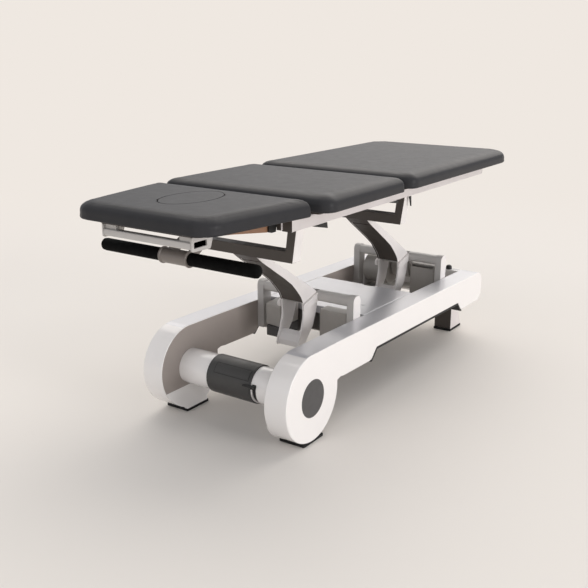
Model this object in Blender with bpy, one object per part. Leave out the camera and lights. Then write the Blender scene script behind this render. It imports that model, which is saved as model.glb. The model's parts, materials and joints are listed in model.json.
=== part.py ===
"""Height-adjustable treatment table with three cushions, two parallel lift arms and a drum-ended base.

Metres, Z up. X runs from the head end (-X) to the foot end (+X), and the near side is -Y.
The origin is the centre of the footprint on the floor.
"""

import math

import bmesh
import bpy
from mathutils import Vector

GAP = 0.0003

# Heights, taken downwards from the top of the cushions
CUSHION_TOP = 0.8256
CUSHION_DEPTH = 0.0531
BOARD_DEPTH = 0.0117
REST_DEPTH = 0.0119
RAIL_DEPTH = 0.040
CUSHION_BOTTOM = CUSHION_TOP - CUSHION_DEPTH
BOARD_TOP = CUSHION_BOTTOM - GAP
BOARD_BOTTOM = BOARD_TOP - BOARD_DEPTH
FRAME_TOP = BOARD_BOTTOM - GAP
RAIL_TOP = FRAME_TOP - REST_DEPTH - GAP
RAIL_BOTTOM = RAIL_TOP - RAIL_DEPTH
HINGE_RISE = 0.0018
HINGE_HEIGHT = BOARD_TOP + HINGE_RISE

# Cushions
LENGTH = 2.0
HALF_LENGTH = LENGTH / 2
CUSHION_HALF_WIDTH = 0.353
HEAD_HALF_WIDTH_FRONT = 0.264
HEAD_HALF_WIDTH_REAR = 0.328
ROUND_WIDTH = 0.042
ROUND_HEIGHT = 0.027
CRISP_EDGE = 0.004
UNDER_EDGE = 0.005
HEAD_JOINT = -0.5485
FOOT_JOINT = 0.008
JOINT_HALF_GAP = 0.0265
FOOT_CORNER = 0.100
HEAD_CORNER = 0.075
LEAD_CORNER = 0.046
TRAIL_CORNER = 0.010
PLUG_CENTRE = -0.752
PLUG_HALF_LENGTH = 0.126
PLUG_HALF_WIDTH = 0.080
PLUG_GAP = 0.0012
PLUG_EDGE = 0.006

# Boards under the cushions: distance in from the cushion's sides and ends
BOARD_INSET = 0.050
BOARD_END_INSET = 0.026
BOARD_LIP = 0.014

# Section frames and hinges, measured from the joints and down from the boards
ARM_INNER = 0.160
ARM_OUTER = 0.1715
PLATE_INNER = 0.1720
PLATE_OUTER = 0.1780
EYE_RADIUS = 0.0072
HINGE_PIN = 0.003
PIN_CLEARANCE = 0.0005
HEAD_ARM_LENGTH = 0.3565
HEAD_ARM_LINE = [(-0.3045, 0.0162), (-0.2225, 0.0252), (-0.1255, 0.0392), (-0.0515, 0.0497),
                 (-0.0375, 0.0402), (-0.0115, 0.0122)]
HEAD_ARM_TIP = 0.0122
FRONT_BAR_SETBACK = 0.0050
FRONT_BAR_WIDTH = 0.0200
HEAD_CROSS_BARS = {"front": (FRONT_BAR_SETBACK - HEAD_ARM_LENGTH,
                             FRONT_BAR_SETBACK + FRONT_BAR_WIDTH - HEAD_ARM_LENGTH, 0.0082),
                   "mid": (-0.1565, -0.1315, 0.0222), "rear": (-0.0635, -0.0435, 0.0222)}
HINGE_PLATE_LINE = [(-0.0475, 0.0002), (-0.0500, 0.0492), (-0.0345, 0.0534), (-0.0125, 0.0534),
                    (-0.0095, 0.0387), (-0.0020, 0.0387), (0.0060, 0.0200)]
FOOT_ARM_LENGTH = 0.932
FOOT_ARM_DEPTH = 0.0115
FOOT_CROSS_BARS = {"front": 0.072, "middle": 0.472, "rear": 0.892}
FOOT_CROSS_WIDTH = 0.025

# Head end bar and side plates
HEAD_ARM_END = HEAD_JOINT - HEAD_ARM_LENGTH
HEAD_BAR = (HEAD_ARM_END - 0.052, HEAD_ARM_END - 0.030)
HEAD_BAR_TOP = 0.0152
HEAD_BAR_BOTTOM = 0.0367
HEAD_BAR_HALF = 0.171
SIDE_PLATE = [(HEAD_ARM_END - 0.0525, 0.0417, 0.006), (HEAD_ARM_END + 0.0280, 0.0442, 0.006),
              (HEAD_ARM_END + 0.0430, 0.0, 0.003), (HEAD_ARM_END - 0.0525, 0.0, 0.003)]
SIDE_WINDOW = (HEAD_ARM_END - 0.0430, HEAD_ARM_END + 0.0120, 0.0322, 0.0152)

# Handle bar
HANDLE_PIVOT = (-0.6925, BOARD_BOTTOM - 0.034)
HANDLE_AXIS = (-0.828, BOARD_BOTTOM - 0.1055)
HANDLE_TUBE_RADIUS = 0.0110
SLEEVE_TUBE_RADIUS = 0.0235
FLANGE_RADIUS = 0.0265
FLANGE_END = 0.0560
GRIP_RADIUS = 0.0205
GRIP_END = 0.3000
HANDLE_ROD = 0.0036
CHEEK_INNER = 0.0375
CHEEK_OUTER = 0.0435

# Upper frame
RAIL_INNER = 0.192
RAIL_OUTER = 0.232
RAIL_HEAD_END = -0.550
RAIL_FOOT_END = 0.962
RAIL_CORNER = 0.004
TUBE_WALL = 0.003
EAR_INNER = 0.1786
EAR_OUTER = 0.1960
EAR_BACK = 0.010
EAR_LENGTH = 0.045
REST_FRONT = -0.430
REST_REAR = -0.110
REST_WIDTH = 0.030
BEAM_FRONT = -0.512
BEAM_DEPTH = 0.042
BEAM_BOTTOM = 0.596
BEAM_TOP = 0.633
BEAM_WALL = 0.003
BEAM_SKIN = 0.006
BRACKET_FOOT = (0.1793, 0.2055)
BRACKET_HEAD = (0.1886, 0.2208)

# Lift
ARM_SPACING = 0.740
ARM_TOP = (-0.4925, 0.6080)
ARM_LOW = (-0.182, 0.354)
ARM_HALF_WIDTH = 0.050
CHEEK = 0.006
ARM_SIDE_GAP = 0.0025
HUB_RADIUS = 0.0158
PIN_RADIUS = 0.007
REAR_PIN_CLEARANCE = 0.0010
BELLY_DEPTH = 0.0040
BELLY_INSET = 0.0015
BELLY = [(-0.4580, 0.5630), (-0.4221, 0.5395), (-0.3850, 0.5145), (-0.3373, 0.4830), (-0.2880, 0.4475),
         (-0.2560, 0.4150), (-0.2320, 0.3870), (-0.2186, 0.3618)]
ARM_BACK = [(-0.4079, 0.5608), (-0.3274, 0.5148), (-0.2729, 0.4790), (-0.2006, 0.4325), (-0.1430, 0.3975),
            (-0.1270, 0.3840), (-0.1215, 0.3650), (-0.1242, 0.3338), (-0.1307, 0.3078), (-0.1507, 0.2575),
            (-0.1990, 0.2040), (-0.2130, 0.1900)]
ARM_SHIN = [(-0.2440, 0.1900), (-0.2500, 0.2000), (-0.2442, 0.2212), (-0.2300, 0.2500), (-0.2149, 0.3028),
            (-0.2150, 0.3258)]
ARM_INSIDE = [(-0.4660, 0.5985), (-0.4079, 0.5528), (-0.3274, 0.5068), (-0.2729, 0.4712), (-0.2006, 0.4247),
              (-0.1460, 0.3915), (-0.1345, 0.3800), (-0.1000, 0.3640), (-0.1000, 0.1700), (-0.3000, 0.1700),
              (-0.3000, 0.4000), (-0.4400, 0.5000), (-0.4660, 0.5000)]
LEVER_BLOCK = [(-0.2430, 0.1925, 0.003), (-0.2120, 0.1925, 0.003), (-0.1900, 0.2350, 0.003),
               (-0.2130, 0.2480, 0.003), (-0.2290, 0.2350, 0.003), (-0.2430, 0.2130, 0.003)]

# Portals
PORTAL_FRONT = -0.140
PORTAL_DEPTH = 0.050
PORTAL_INNER = 0.190
PORTAL_OUTER = 0.219
PORTAL_TOP = 0.391
BAR_BOTTOM = 0.349
BAR_TOP = 0.387
PORTAL_LUG_INNER = 0.0525
PORTAL_LUG_OUTER = 0.0600
PORTAL_LUG = [(-0.1300, 0.3500, 0), (-0.1300, 0.3830, 0), (-0.2260, 0.3560, 0.012),
              (-0.2330, 0.3280, 0.012)]

# Base covers
COVER_OUTER = 0.308
COVER_INNER = 0.220
COVER_EDGE = 0.0035
DRUM_X = -0.540
DRUM_Z = 0.1625
DRUM_RADIUS = 0.1527
CAP_RADIUS = 0.0658
CAP_DEPTH = 0.004
CAP_PROUD = 0.0008
COVER_LINE_TOP = [(-0.480, 0.3142), (-0.400, 0.3140), (-0.300, 0.3120), (0.800, 0.2880)]
COVER_LINE_BOTTOM = [(0.6420, 0.1580), (0.6300, 0.1640), (0.6000, 0.1970), (-0.1170, 0.2130),
                     (-0.1530, 0.1770), (-0.1650, 0.1740), (-0.3450, 0.1780), (-0.3680, 0.1810)]
COVER_END_X = 0.809
COVER_END_RADIUS = 0.045
COVER_END_HIGH = 0.2430
COVER_END_LOW = 0.2020
CAVITY = [(-0.3600, 0.1000), (0.6000, 0.1000), (0.6000, 0.2860), (-0.3600, 0.3060)]

# Cross cylinder
CYLINDER_RADIUS = 0.064
SLEEVE_RADIUS = 0.068
SLEEVE_NEAR = -0.0995
SLEEVE_FAR = 0.0910
SLOT_NEAR = -0.1210
SLOT_FAR = -0.1045
SLOT_ANGLES = (160, 285)
SLOT_DEPTH = 0.006
LEVER_ANGLES = (162, 173)
LEVER_RISE = 0.0065
HATCH_ANGLES = (152, 124)

# Deck and chassis
DECK_FRONT = -0.065
DECK_REAR = 0.325
DECK_DEPTH = 0.030
DECK_SLOPE = 0.02182
NOTCH_CENTRE = (0.385, -0.019)
NOTCH_RADII = (0.075, 0.060)
DECK_SLOT = (0.0410, 0.0480, -0.1590, -0.1370)
PAN_TOP = 0.1985
PAN_SHEET = 0.004
PAN_ENDS = (-0.125, 0.775)
PAN_WINDOWS = {"front": (-0.300, -0.040), "rear": (0.440, 0.700)}
PAN_WINDOW_HALF = 0.056
KNOB_PLACE = (0.7960, -0.1700)
KNOB_RINGS = [(0.0135, 0.2887), (0.0135, 0.2960), (0.0125, 0.3010), (0.0095, 0.3050), (0.0050, 0.3070)]

# Feet
PAD_DEPTH = 0.0094
FRONT_PAD = (-0.586, -0.468, 0.203, 0.304)
FRONT_BLOCK = (-0.584, -0.476)
WEDGE_TOP = 0.094
WEDGE_REACH = 0.0155
REAR_PAD = (0.766, 0.884, 0.121, 0.206)
REAR_BLOCK_TOP = 0.1565
REAR_BLOCK_TOP_X = (0.772, 0.830)


def clear_scene():
    for obj in list(bpy.data.objects):
        bpy.data.objects.remove(obj, do_unlink=True)


def make_material(name, colour, roughness, metallic=0.0):
    material = bpy.data.materials.new(name)
    material.use_nodes = True
    shader = material.node_tree.nodes["Principled BSDF"]
    shader.inputs["Base Color"].default_value = (*colour, 1.0)
    shader.inputs["Roughness"].default_value = roughness
    shader.inputs["Metallic"].default_value = metallic
    return material


LOOKS = {
    "charcoal_vinyl": ((0.10, 0.10, 0.105), 0.5, 0.0),
    "white_paint": ((0.85, 0.84, 0.83), 0.3, 0.0),
    "grey_paint": ((0.36, 0.35, 0.33), 0.4, 0.0),
    "dark_paint": ((0.03, 0.027, 0.025), 0.45, 0.0),
    "black_plastic": ((0.012, 0.012, 0.012), 0.5, 0.0),
    "dark_grey_plastic": ((0.10, 0.10, 0.10), 0.5, 0.0),
    "white_plastic": ((0.86, 0.85, 0.84), 0.25, 0.0),
    "black_rubber": ((0.01, 0.01, 0.01), 0.85, 0.0),
    "steel": ((0.55, 0.54, 0.52), 0.35, 1.0),
    "plywood": ((0.10, 0.06, 0.04), 0.7, 0.0),
}


def place(name, mesh, look):
    """One named object with its own material."""
    obj = bpy.data.objects.new(name, mesh)
    bpy.context.scene.collection.objects.link(obj)
    colour, roughness, metallic = LOOKS[look]
    mesh.materials.append(make_material(name + "_" + look, colour, roughness, metallic))
    return obj


def mesh_from(name, points, faces):
    mesh = bpy.data.meshes.new(name)
    mesh.from_pydata([tuple(p) for p in points], [], faces)
    bm = bmesh.new()
    bm.from_mesh(mesh)
    bmesh.ops.remove_doubles(bm, verts=bm.verts, dist=1e-6)
    bmesh.ops.recalc_face_normals(bm, faces=bm.faces)
    bm.to_mesh(mesh)
    bm.free()
    return mesh


def loft(name, rings, look):
    """A closed body through rings that all hold the same number of points."""
    count = len(rings[0])
    points = [p for ring in rings for p in ring]
    faces = [tuple(reversed(range(count)))]
    for r in range(len(rings) - 1):
        for i in range(count):
            j = (i + 1) % count
            faces.append((r * count + i, r * count + j, (r + 1) * count + j, (r + 1) * count + i))
    faces.append(tuple(range((len(rings) - 1) * count, len(rings) * count)))
    return place(name, mesh_from(name, points, faces), look)


def prism_y(name, profile, y0, y1, look):
    """A profile of (x, z) points drawn out along Y."""
    return loft(name, [[(x, y, z) for x, z in profile] for y in (y0, y1)], look)


def prism_x(name, profile, x0, x1, look):
    """A profile of (y, z) points drawn out along X."""
    return loft(name, [[(x, y, z) for y, z in profile] for x in (x0, x1)], look)


def prism_z(name, profile, z0, z1, look):
    """A profile of (x, y) points drawn out along Z."""
    return loft(name, [[(x, y, z) for x, y in profile] for z in (z0, z1)], look)


def box(name, x0, x1, y0, y1, z0, z1, look):
    return prism_z(name, [(x0, y0), (x1, y0), (x1, y1), (x0, y1)], z0, z1, look)


def arc(cx, cz, radius, start, end, steps):
    """Points on a circle from start to end, in degrees."""
    angles = [math.radians(start + (end - start) * i / steps) for i in range(steps + 1)]
    return [(cx + radius * math.cos(a), cz + radius * math.sin(a)) for a in angles]


def disc(cx, cz, radius, steps):
    return arc(cx, cz, radius, 0, 360 * (steps - 1) / steps, steps - 1)


def rounded(corners, steps=5):
    """A closed outline from (u, v, radius) corners, each turned into an arc."""
    outline = []
    count = len(corners)
    for i, (u, v, radius) in enumerate(corners):
        if radius <= 0:
            outline.append((u, v))
            continue
        here = Vector((u, v))
        before = (Vector(corners[i - 1][:2]) - here).normalized()
        after = (Vector(corners[(i + 1) % count][:2]) - here).normalized()
        half = before.angle(after) / 2
        centre = here + (before + after).normalized() * (radius / math.sin(half))
        reach = radius / math.tan(half)
        first = here + before * reach - centre
        last = here + after * reach - centre
        turn = first.angle_signed(last)
        for s in range(steps + 1):
            a = -turn * s / steps
            x = first.x * math.cos(a) - first.y * math.sin(a)
            y = first.x * math.sin(a) + first.y * math.cos(a)
            outline.append((centre.x + x, centre.y + y))
    return outline


def rounded_rectangle(u0, u1, v0, v1, radius, steps=3):
    return rounded([(u0, v0, radius), (u1, v0, radius), (u1, v1, radius), (u0, v1, radius)], steps)


def bevel(obj, width, segments, angle=40):
    modifier = obj.modifiers.new("soft_edges", "BEVEL")
    modifier.width = width
    modifier.segments = segments
    modifier.limit_method = "ANGLE"
    modifier.angle_limit = math.radians(angle)
    modifier.use_clamp_overlap = True
    return obj


def boolean(obj, other, operation="DIFFERENCE"):
    modifier = obj.modifiers.new(operation.lower(), "BOOLEAN")
    modifier.operation = operation
    modifier.solver = "EXACT"
    modifier.object = other
    other.hide_render = True
    other.display_type = "WIRE"
    return obj


def shifted(profile, dx):
    return [(x + dx, z) for x, z in profile]


def shifted_corners(profile, dx):
    return [(x + dx, z, radius) for x, z, radius in profile]


def under_boards(profile, x0):
    """Points given from x0 and down from the boards, as (x, z)."""
    return [(x0 + x, FRAME_TOP - drop) for x, drop in profile]


def both_sides():
    return (("near", -1), ("far", 1))


def span(sign, inner, outer):
    """The lower and the higher of two Y places on one side."""
    return sorted((sign * inner, sign * outer))


# Cushions and boards

def cushion(name, x0, x1, half0, half1, corner0, corner1, crisp_end):
    """A cushion with a broad round on its long sides and lead end, and a crisp or round trailing end."""
    levels = [(UNDER_EDGE, CUSHION_BOTTOM), (0.0, CUSHION_BOTTOM + UNDER_EDGE)]
    levels.append((0.0, CUSHION_TOP - ROUND_HEIGHT))
    for step in (1, 2, 3, 4):
        angle = math.radians(22.5 * step)
        inset = ROUND_WIDTH * (1 - math.cos(angle))
        levels.append((inset, CUSHION_TOP - ROUND_HEIGHT * (1 - math.sin(angle))))
    rings = []
    for inset, z in levels:
        end = min(inset, CRISP_EDGE) if crisp_end else inset
        outline = rounded([
            (x0 + inset, -half0 + inset, max(corner0 - inset, 0.003)),
            (x1 - end, -half1 + inset, max(corner1 - inset, 0.003)),
            (x1 - end, half1 - inset, max(corner1 - inset, 0.003)),
            (x0 + inset, half0 - inset, max(corner0 - inset, 0.003)),
        ])
        rings.append([(x, y, z) for x, y in outline])
    return loft(name, rings, "charcoal_vinyl")


def lens(half_length, half_width, steps=28):
    turns = [2 * math.pi * i / steps for i in range(steps)]
    return [(PLUG_CENTRE + half_length * math.cos(a), half_width * math.sin(a)) for a in turns]


def board(name, x0, x1, half0, half1, corner0, corner1):
    x0 += BOARD_END_INSET
    x1 -= BOARD_END_INSET
    y0 = half0 - BOARD_INSET
    y1 = half1 - BOARD_INSET
    outline = rounded([(x0, -y0, corner0), (x1, -y1, corner1), (x1, y1, corner1), (x0, y0, corner0)])
    return prism_z(name, outline, BOARD_BOTTOM, BOARD_TOP, "plywood")


def build_cushions():
    head_end = HEAD_JOINT - JOINT_HALF_GAP
    middle_start = HEAD_JOINT + JOINT_HALF_GAP
    middle_end = FOOT_JOINT - JOINT_HALF_GAP
    foot_start = FOOT_JOINT + JOINT_HALF_GAP
    wide = CUSHION_HALF_WIDTH
    narrow = HEAD_HALF_WIDTH_FRONT
    head = cushion("head_cushion", -HALF_LENGTH, head_end, narrow, HEAD_HALF_WIDTH_REAR, HEAD_CORNER,
                   TRAIL_CORNER, True)
    hole = prism_z("head_hole_cutter", lens(PLUG_HALF_LENGTH, PLUG_HALF_WIDTH), BOARD_BOTTOM,
                   CUSHION_TOP + BOARD_DEPTH, "charcoal_vinyl")
    boolean(head, hole)
    cushion("middle_cushion", middle_start, middle_end, wide, wide, LEAD_CORNER, TRAIL_CORNER, True)
    cushion("foot_cushion", foot_start, HALF_LENGTH, wide, wide, LEAD_CORNER, FOOT_CORNER, False)

    rings = []
    for inset, z in ((0.0, BOARD_TOP + GAP), (0.0, CUSHION_TOP - PLUG_EDGE), (PLUG_EDGE, CUSHION_TOP)):
        outline = lens(PLUG_HALF_LENGTH - PLUG_GAP - inset, PLUG_HALF_WIDTH - PLUG_GAP - inset)
        rings.append([(x, y, z) for x, y in outline])
    loft("face_plug", rings, "charcoal_vinyl")

    head_board = board("head_board", -HALF_LENGTH, head_end, narrow, HEAD_HALF_WIDTH_REAR, 0.050, 0.010)
    opening = prism_z("board_hole_cutter", lens(PLUG_HALF_LENGTH - BOARD_LIP, PLUG_HALF_WIDTH - BOARD_LIP),
                      BOARD_BOTTOM - BOARD_DEPTH, BOARD_TOP + BOARD_DEPTH, "plywood")
    boolean(head_board, opening)
    board("middle_board", middle_start, middle_end, wide, wide, 0.010, 0.010)
    board("foot_board", foot_start, HALF_LENGTH, wide, wide, 0.010, 0.075)


# Section frames and hinges

def bore(obj, tag, joint, radius):
    """A hole for a hinge pin right through a piece."""
    cutter = prism_y(tag + "_cutter", disc(joint, HINGE_HEIGHT, radius, 16), -RAIL_OUTER, RAIL_OUTER,
                     "steel")
    return boolean(obj, cutter)


def build_head_frame():
    arm_line = [(-0.015, 0.0), (-HEAD_ARM_LENGTH, 0.0), (-HEAD_ARM_LENGTH, HEAD_ARM_TIP)] + HEAD_ARM_LINE
    outline = under_boards(arm_line, HEAD_JOINT)
    outline += arc(HEAD_JOINT, HINGE_HEIGHT, EYE_RADIUS, -35, 190, 10)
    frame = prism_y("head_frame", outline, -ARM_OUTER, -ARM_INNER, "grey_paint")
    far_arm = prism_y("head_arm_far_helper", outline, ARM_INNER, ARM_OUTER, "grey_paint")
    boolean(frame, far_arm, "UNION")
    overlap = ARM_INNER + 0.005
    for label, (x0, x1, drop) in HEAD_CROSS_BARS.items():
        bar = box("head_cross_" + label + "_helper", HEAD_JOINT + x0, HEAD_JOINT + x1, -overlap, overlap,
                  FRAME_TOP - drop, FRAME_TOP - 0.0002, "grey_paint")
        boolean(frame, bar, "UNION")
    lug_top = FRAME_TOP - 0.0152
    lug_bottom = HANDLE_PIVOT[1] - 0.0075
    lug = prism_y("handle_lug_helper", rounded([
        (HANDLE_PIVOT[0] - 0.0115, lug_top, 0.002), (HANDLE_PIVOT[0] - 0.0055, lug_bottom, 0.006),
        (HANDLE_PIVOT[0] + 0.0055, lug_bottom, 0.006), (HANDLE_PIVOT[0] + 0.0115, lug_top, 0.002),
    ], 3), -CHEEK_INNER + 0.0005, CHEEK_INNER - 0.0005, "grey_paint")
    boolean(frame, lug, "UNION")
    rod = prism_y("handle_rod_helper", disc(*HANDLE_PIVOT, HANDLE_ROD, 16), -0.0460, 0.0460, "steel")
    boolean(frame, rod, "UNION")
    bore(frame, "head_bore", HEAD_JOINT, HINGE_PIN + PIN_CLEARANCE)

    x0, x1 = HEAD_BAR
    section = rounded_rectangle(x0, x1, FRAME_TOP - HEAD_BAR_BOTTOM, FRAME_TOP - HEAD_BAR_TOP, 0.004)
    bar = prism_y("head_front_bar", section, -HEAD_BAR_HALF, HEAD_BAR_HALF, "grey_paint")
    for tag, sign in both_sides():
        y0, y1 = span(sign, HEAD_BAR_HALF - 0.0455, HEAD_BAR_HALF - 0.0005)
        upstand = box("upstand_" + tag + "_helper", x0 + 0.007, x1 - 0.005, y0, y1, FRAME_TOP - 0.025,
                      FRAME_TOP, "grey_paint")
        boolean(bar, upstand, "UNION")

    for tag, sign in both_sides():
        y0, y1 = span(sign, PLATE_INNER, PLATE_OUTER)
        corners = [(x, FRAME_TOP - drop, radius) for x, drop, radius in SIDE_PLATE]
        plate = prism_y("head_side_plate_" + tag, rounded(corners, 3), y0, y1, "grey_paint")
        wx0, wx1, low, high = SIDE_WINDOW
        window = box("side_window_" + tag + "_cutter", wx0, wx1, y0 - 0.01, y1 + 0.01, FRAME_TOP - low,
                     FRAME_TOP - high, "grey_paint")
        boolean(plate, window)
        hinge = under_boards(HINGE_PLATE_LINE, HEAD_JOINT)
        hinge += arc(HEAD_JOINT, HINGE_HEIGHT, EYE_RADIUS, -35, 190, 10)
        hinge += under_boards([(-0.015, 0.0002)], HEAD_JOINT)
        plate = prism_y("head_hinge_plate_" + tag, hinge, y0, y1, "black_plastic")
        bore(plate, "hinge_plate_bore_" + tag, HEAD_JOINT, HINGE_PIN + PIN_CLEARANCE)


def build_foot_frame():
    outline = under_boards([(FOOT_ARM_LENGTH, 0.0), (0.030, 0.0)], FOOT_JOINT)
    outline += arc(FOOT_JOINT, HINGE_HEIGHT, EYE_RADIUS, -10, 225, 10)
    outline += under_boards([(0.010, FOOT_ARM_DEPTH), (FOOT_ARM_LENGTH, FOOT_ARM_DEPTH)], FOOT_JOINT)
    frame = prism_y("foot_frame", outline, -ARM_OUTER, -ARM_INNER, "grey_paint")
    far = prism_y("foot_arm_far_helper", outline, ARM_INNER, ARM_OUTER, "grey_paint")
    boolean(frame, far, "UNION")
    overlap = ARM_INNER + 0.005
    for label, x in FOOT_CROSS_BARS.items():
        x0 = FOOT_JOINT + x
        bar = box("foot_cross_" + label + "_helper", x0, x0 + FOOT_CROSS_WIDTH, -overlap, overlap,
                  FRAME_TOP - FOOT_ARM_DEPTH + 0.0003, FRAME_TOP - 0.0002, "grey_paint")
        boolean(frame, bar, "UNION")
    bore(frame, "foot_bore", FOOT_JOINT, HINGE_PIN + PIN_CLEARANCE)


def hinge_ear(tag, sign, label, joint, lean):
    """An ear on the inner face of a rail, with its eye round the hinge pin."""
    low = RAIL_BOTTOM + RAIL_CORNER
    high = RAIL_TOP - RAIL_CORNER
    profile = [(-EAR_BACK, low), (EAR_LENGTH, low), (EAR_LENGTH, high)]
    profile += arc(0.0, HINGE_HEIGHT, EYE_RADIUS, 0, 180, 8)
    profile += [(-EAR_BACK, high - RAIL_CORNER)]
    profile = [(joint + x * lean, z) for x, z in profile]
    if lean < 0:
        profile.reverse()
    y0, y1 = span(sign, EAR_INNER, EAR_OUTER)
    return prism_y("hinge_ear_" + label + "_" + tag + "_helper", profile, y0, y1, "white_paint")


def build_hinge_pins():
    for label, joint in (("head", HEAD_JOINT), ("foot", FOOT_JOINT)):
        prism_y(label + "_hinge_pin", disc(joint, HINGE_HEIGHT, HINGE_PIN, 16), -0.1900, 0.1900, "steel")


# Handle bar

def turned(name, x, z, stations, look):
    """A body turned about a Y axis, from (y, radius) stations."""
    rings = []
    for y, radius in stations:
        rings.append([(px, y, pz) for px, pz in disc(x, z, radius, 20)])
    return loft(name, rings, look)


def build_handle():
    x, z = HANDLE_AXIS
    prism_y("handle_tube", disc(x, z, HANDLE_TUBE_RADIUS, 20), -GRIP_END, GRIP_END, "steel")
    half = [(0.0485, SLEEVE_TUBE_RADIUS), (0.0500, FLANGE_RADIUS), (0.0550, FLANGE_RADIUS),
            (FLANGE_END, FLANGE_RADIUS - 0.0015)]
    stations = [(-y, radius) for y, radius in reversed(half)] + half
    sleeve = turned("handle_sleeve", x, z, stations, "grey_paint")
    px, pz = HANDLE_PIVOT
    for tag, sign in both_sides():
        y0, y1 = span(sign, CHEEK_INNER, CHEEK_OUTER)
        cheek = prism_y("handle_cheek_" + tag + "_helper", rounded([
            (x - 0.008, z - 0.012, 0.003), (x + 0.030, z - 0.012, 0.010), (px + 0.0085, pz - 0.0085, 0.009),
            (px - 0.0075, pz + 0.008, 0.009), (x - 0.008, z + 0.012, 0.003),
        ], 3), y0, y1, "grey_paint")
        boolean(sleeve, cheek, "UNION")
    bore_cutter = prism_y("handle_bore_cutter", disc(x, z, HANDLE_TUBE_RADIUS + GAP, 20), -0.10, 0.10,
                          "steel")
    boolean(sleeve, bore_cutter)
    eye = prism_y("handle_eye_cutter", disc(px, pz, HANDLE_ROD + 0.0004, 16), -0.10, 0.10, "steel")
    boolean(sleeve, eye)
    for tag, sign in both_sides():
        stations = [(FLANGE_END + GAP, GRIP_RADIUS - 0.0015), (FLANGE_END + 0.002, GRIP_RADIUS),
                    (GRIP_END, GRIP_RADIUS)]
        for step in (1, 2, 3, 4):
            angle = math.radians(20 * step)
            stations.append((GRIP_END + 0.003 + 0.014 * math.sin(angle), GRIP_RADIUS * math.cos(angle)))
        grip = turned("grip_" + tag, x, z, [(sign * y, radius) for y, radius in stations], "black_plastic")
        y0, y1 = span(sign, 0.04, GRIP_END + 0.0005)
        hollow = prism_y("grip_" + tag + "_cutter", disc(x, z, HANDLE_TUBE_RADIUS + GAP, 20), y0, y1,
                         "black_plastic")
        boolean(grip, hollow)


# Upper frame

def build_rails():
    for tag, sign in both_sides():
        y0, y1 = span(sign, RAIL_INNER, RAIL_OUTER)
        rail = prism_x("rail_" + tag, rounded_rectangle(y0, y1, RAIL_BOTTOM, RAIL_TOP, RAIL_CORNER, 2),
                       RAIL_HEAD_END,
                       RAIL_FOOT_END, "white_paint")
        inner = (y0 + TUBE_WALL, y1 - TUBE_WALL, RAIL_BOTTOM + TUBE_WALL, RAIL_TOP - TUBE_WALL)
        hollow = prism_x("rail_hollow_" + tag + "_cutter", rounded_rectangle(*inner, RAIL_CORNER / 2, 2),
                         RAIL_HEAD_END + TUBE_WALL, RAIL_FOOT_END + 0.01, "white_paint")
        boolean(rail, hollow)
        stud_y0, stud_y1 = span(sign, RAIL_OUTER - 0.002, RAIL_OUTER + 0.002)
        stud = prism_y("stud_" + tag + "_helper", disc(0.945, RAIL_TOP - 0.015, 0.0040, 12), stud_y0,
                       stud_y1, "steel")
        boolean(rail, stud, "UNION")
        for label, joint, lean in (("head", HEAD_JOINT, 1), ("foot", FOOT_JOINT, -1)):
            boolean(rail, hinge_ear(tag, sign, label, joint, lean), "UNION")
            bore(rail, "ear_bore_" + label + "_" + tag, joint, HINGE_PIN + GAP)
        cap = prism_x("rail_plug_" + tag, rounded_rectangle(y0, y1, RAIL_BOTTOM, RAIL_TOP, RAIL_CORNER, 2),
                      RAIL_FOOT_END + GAP, RAIL_FOOT_END + 0.002, "black_plastic")
        stem_outline = rounded_rectangle(y0 + TUBE_WALL + GAP, y1 - TUBE_WALL - GAP,
                                         RAIL_BOTTOM + TUBE_WALL + GAP,
                                         RAIL_TOP - TUBE_WALL - GAP, RAIL_CORNER / 2, 2)
        stem = prism_x("rail_plug_stem_" + tag + "_helper", stem_outline, RAIL_FOOT_END - 0.015,
                       RAIL_FOOT_END + 0.001,
                       "black_plastic")
        boolean(cap, stem, "UNION")


def build_cross_beams():
    for label, x0 in (("front", REST_FRONT), ("rear", REST_REAR)):
        box("cushion_rest_" + label, x0, x0 + REST_WIDTH, -RAIL_OUTER, RAIL_OUTER, RAIL_TOP + GAP,
            FRAME_TOP,
            "grey_paint")
    foot_inner, foot_outer = BRACKET_FOOT
    head_inner, head_outer = BRACKET_HEAD
    top = RAIL_BOTTOM - GAP
    outline = [
        (-foot_outer, BEAM_BOTTOM), (foot_outer, BEAM_BOTTOM), (head_outer, top), (head_inner, top),
        (foot_inner, BEAM_TOP), (-foot_inner, BEAM_TOP), (-head_inner, top), (-head_outer, top),
    ]
    for label, dx in (("front", 0.0), ("rear", ARM_SPACING)):
        x0 = BEAM_FRONT + dx
        x1 = x0 + BEAM_DEPTH
        beam = prism_x("cross_beam_" + label, outline, x0, x1, "dark_paint")
        side = ARM_HALF_WIDTH + ARM_SIDE_GAP
        pocket = box("beam_pocket_" + label + "_cutter", x0 + BEAM_WALL, x1 + 0.01, -side, side,
                     BEAM_BOTTOM - 0.05, BEAM_TOP - BEAM_SKIN, "dark_paint")
        boolean(beam, pocket)
        pin = prism_y("beam_pin_" + label + "_helper", disc(ARM_TOP[0] + dx, ARM_TOP[1], PIN_RADIUS, 20),
                      -side - CHEEK, side + CHEEK, "steel")
        boolean(beam, pin, "UNION")


# Lift arms

def offset_line(points, distance):
    """The line moved sideways by distance."""
    moved = []
    for i, point in enumerate(points):
        a = Vector(points[max(i - 1, 0)])
        b = Vector(points[min(i + 1, len(points) - 1)])
        along = (b - a).normalized()
        moved.append((point[0] - along.y * distance, point[1] + along.x * distance))
    return moved


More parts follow.
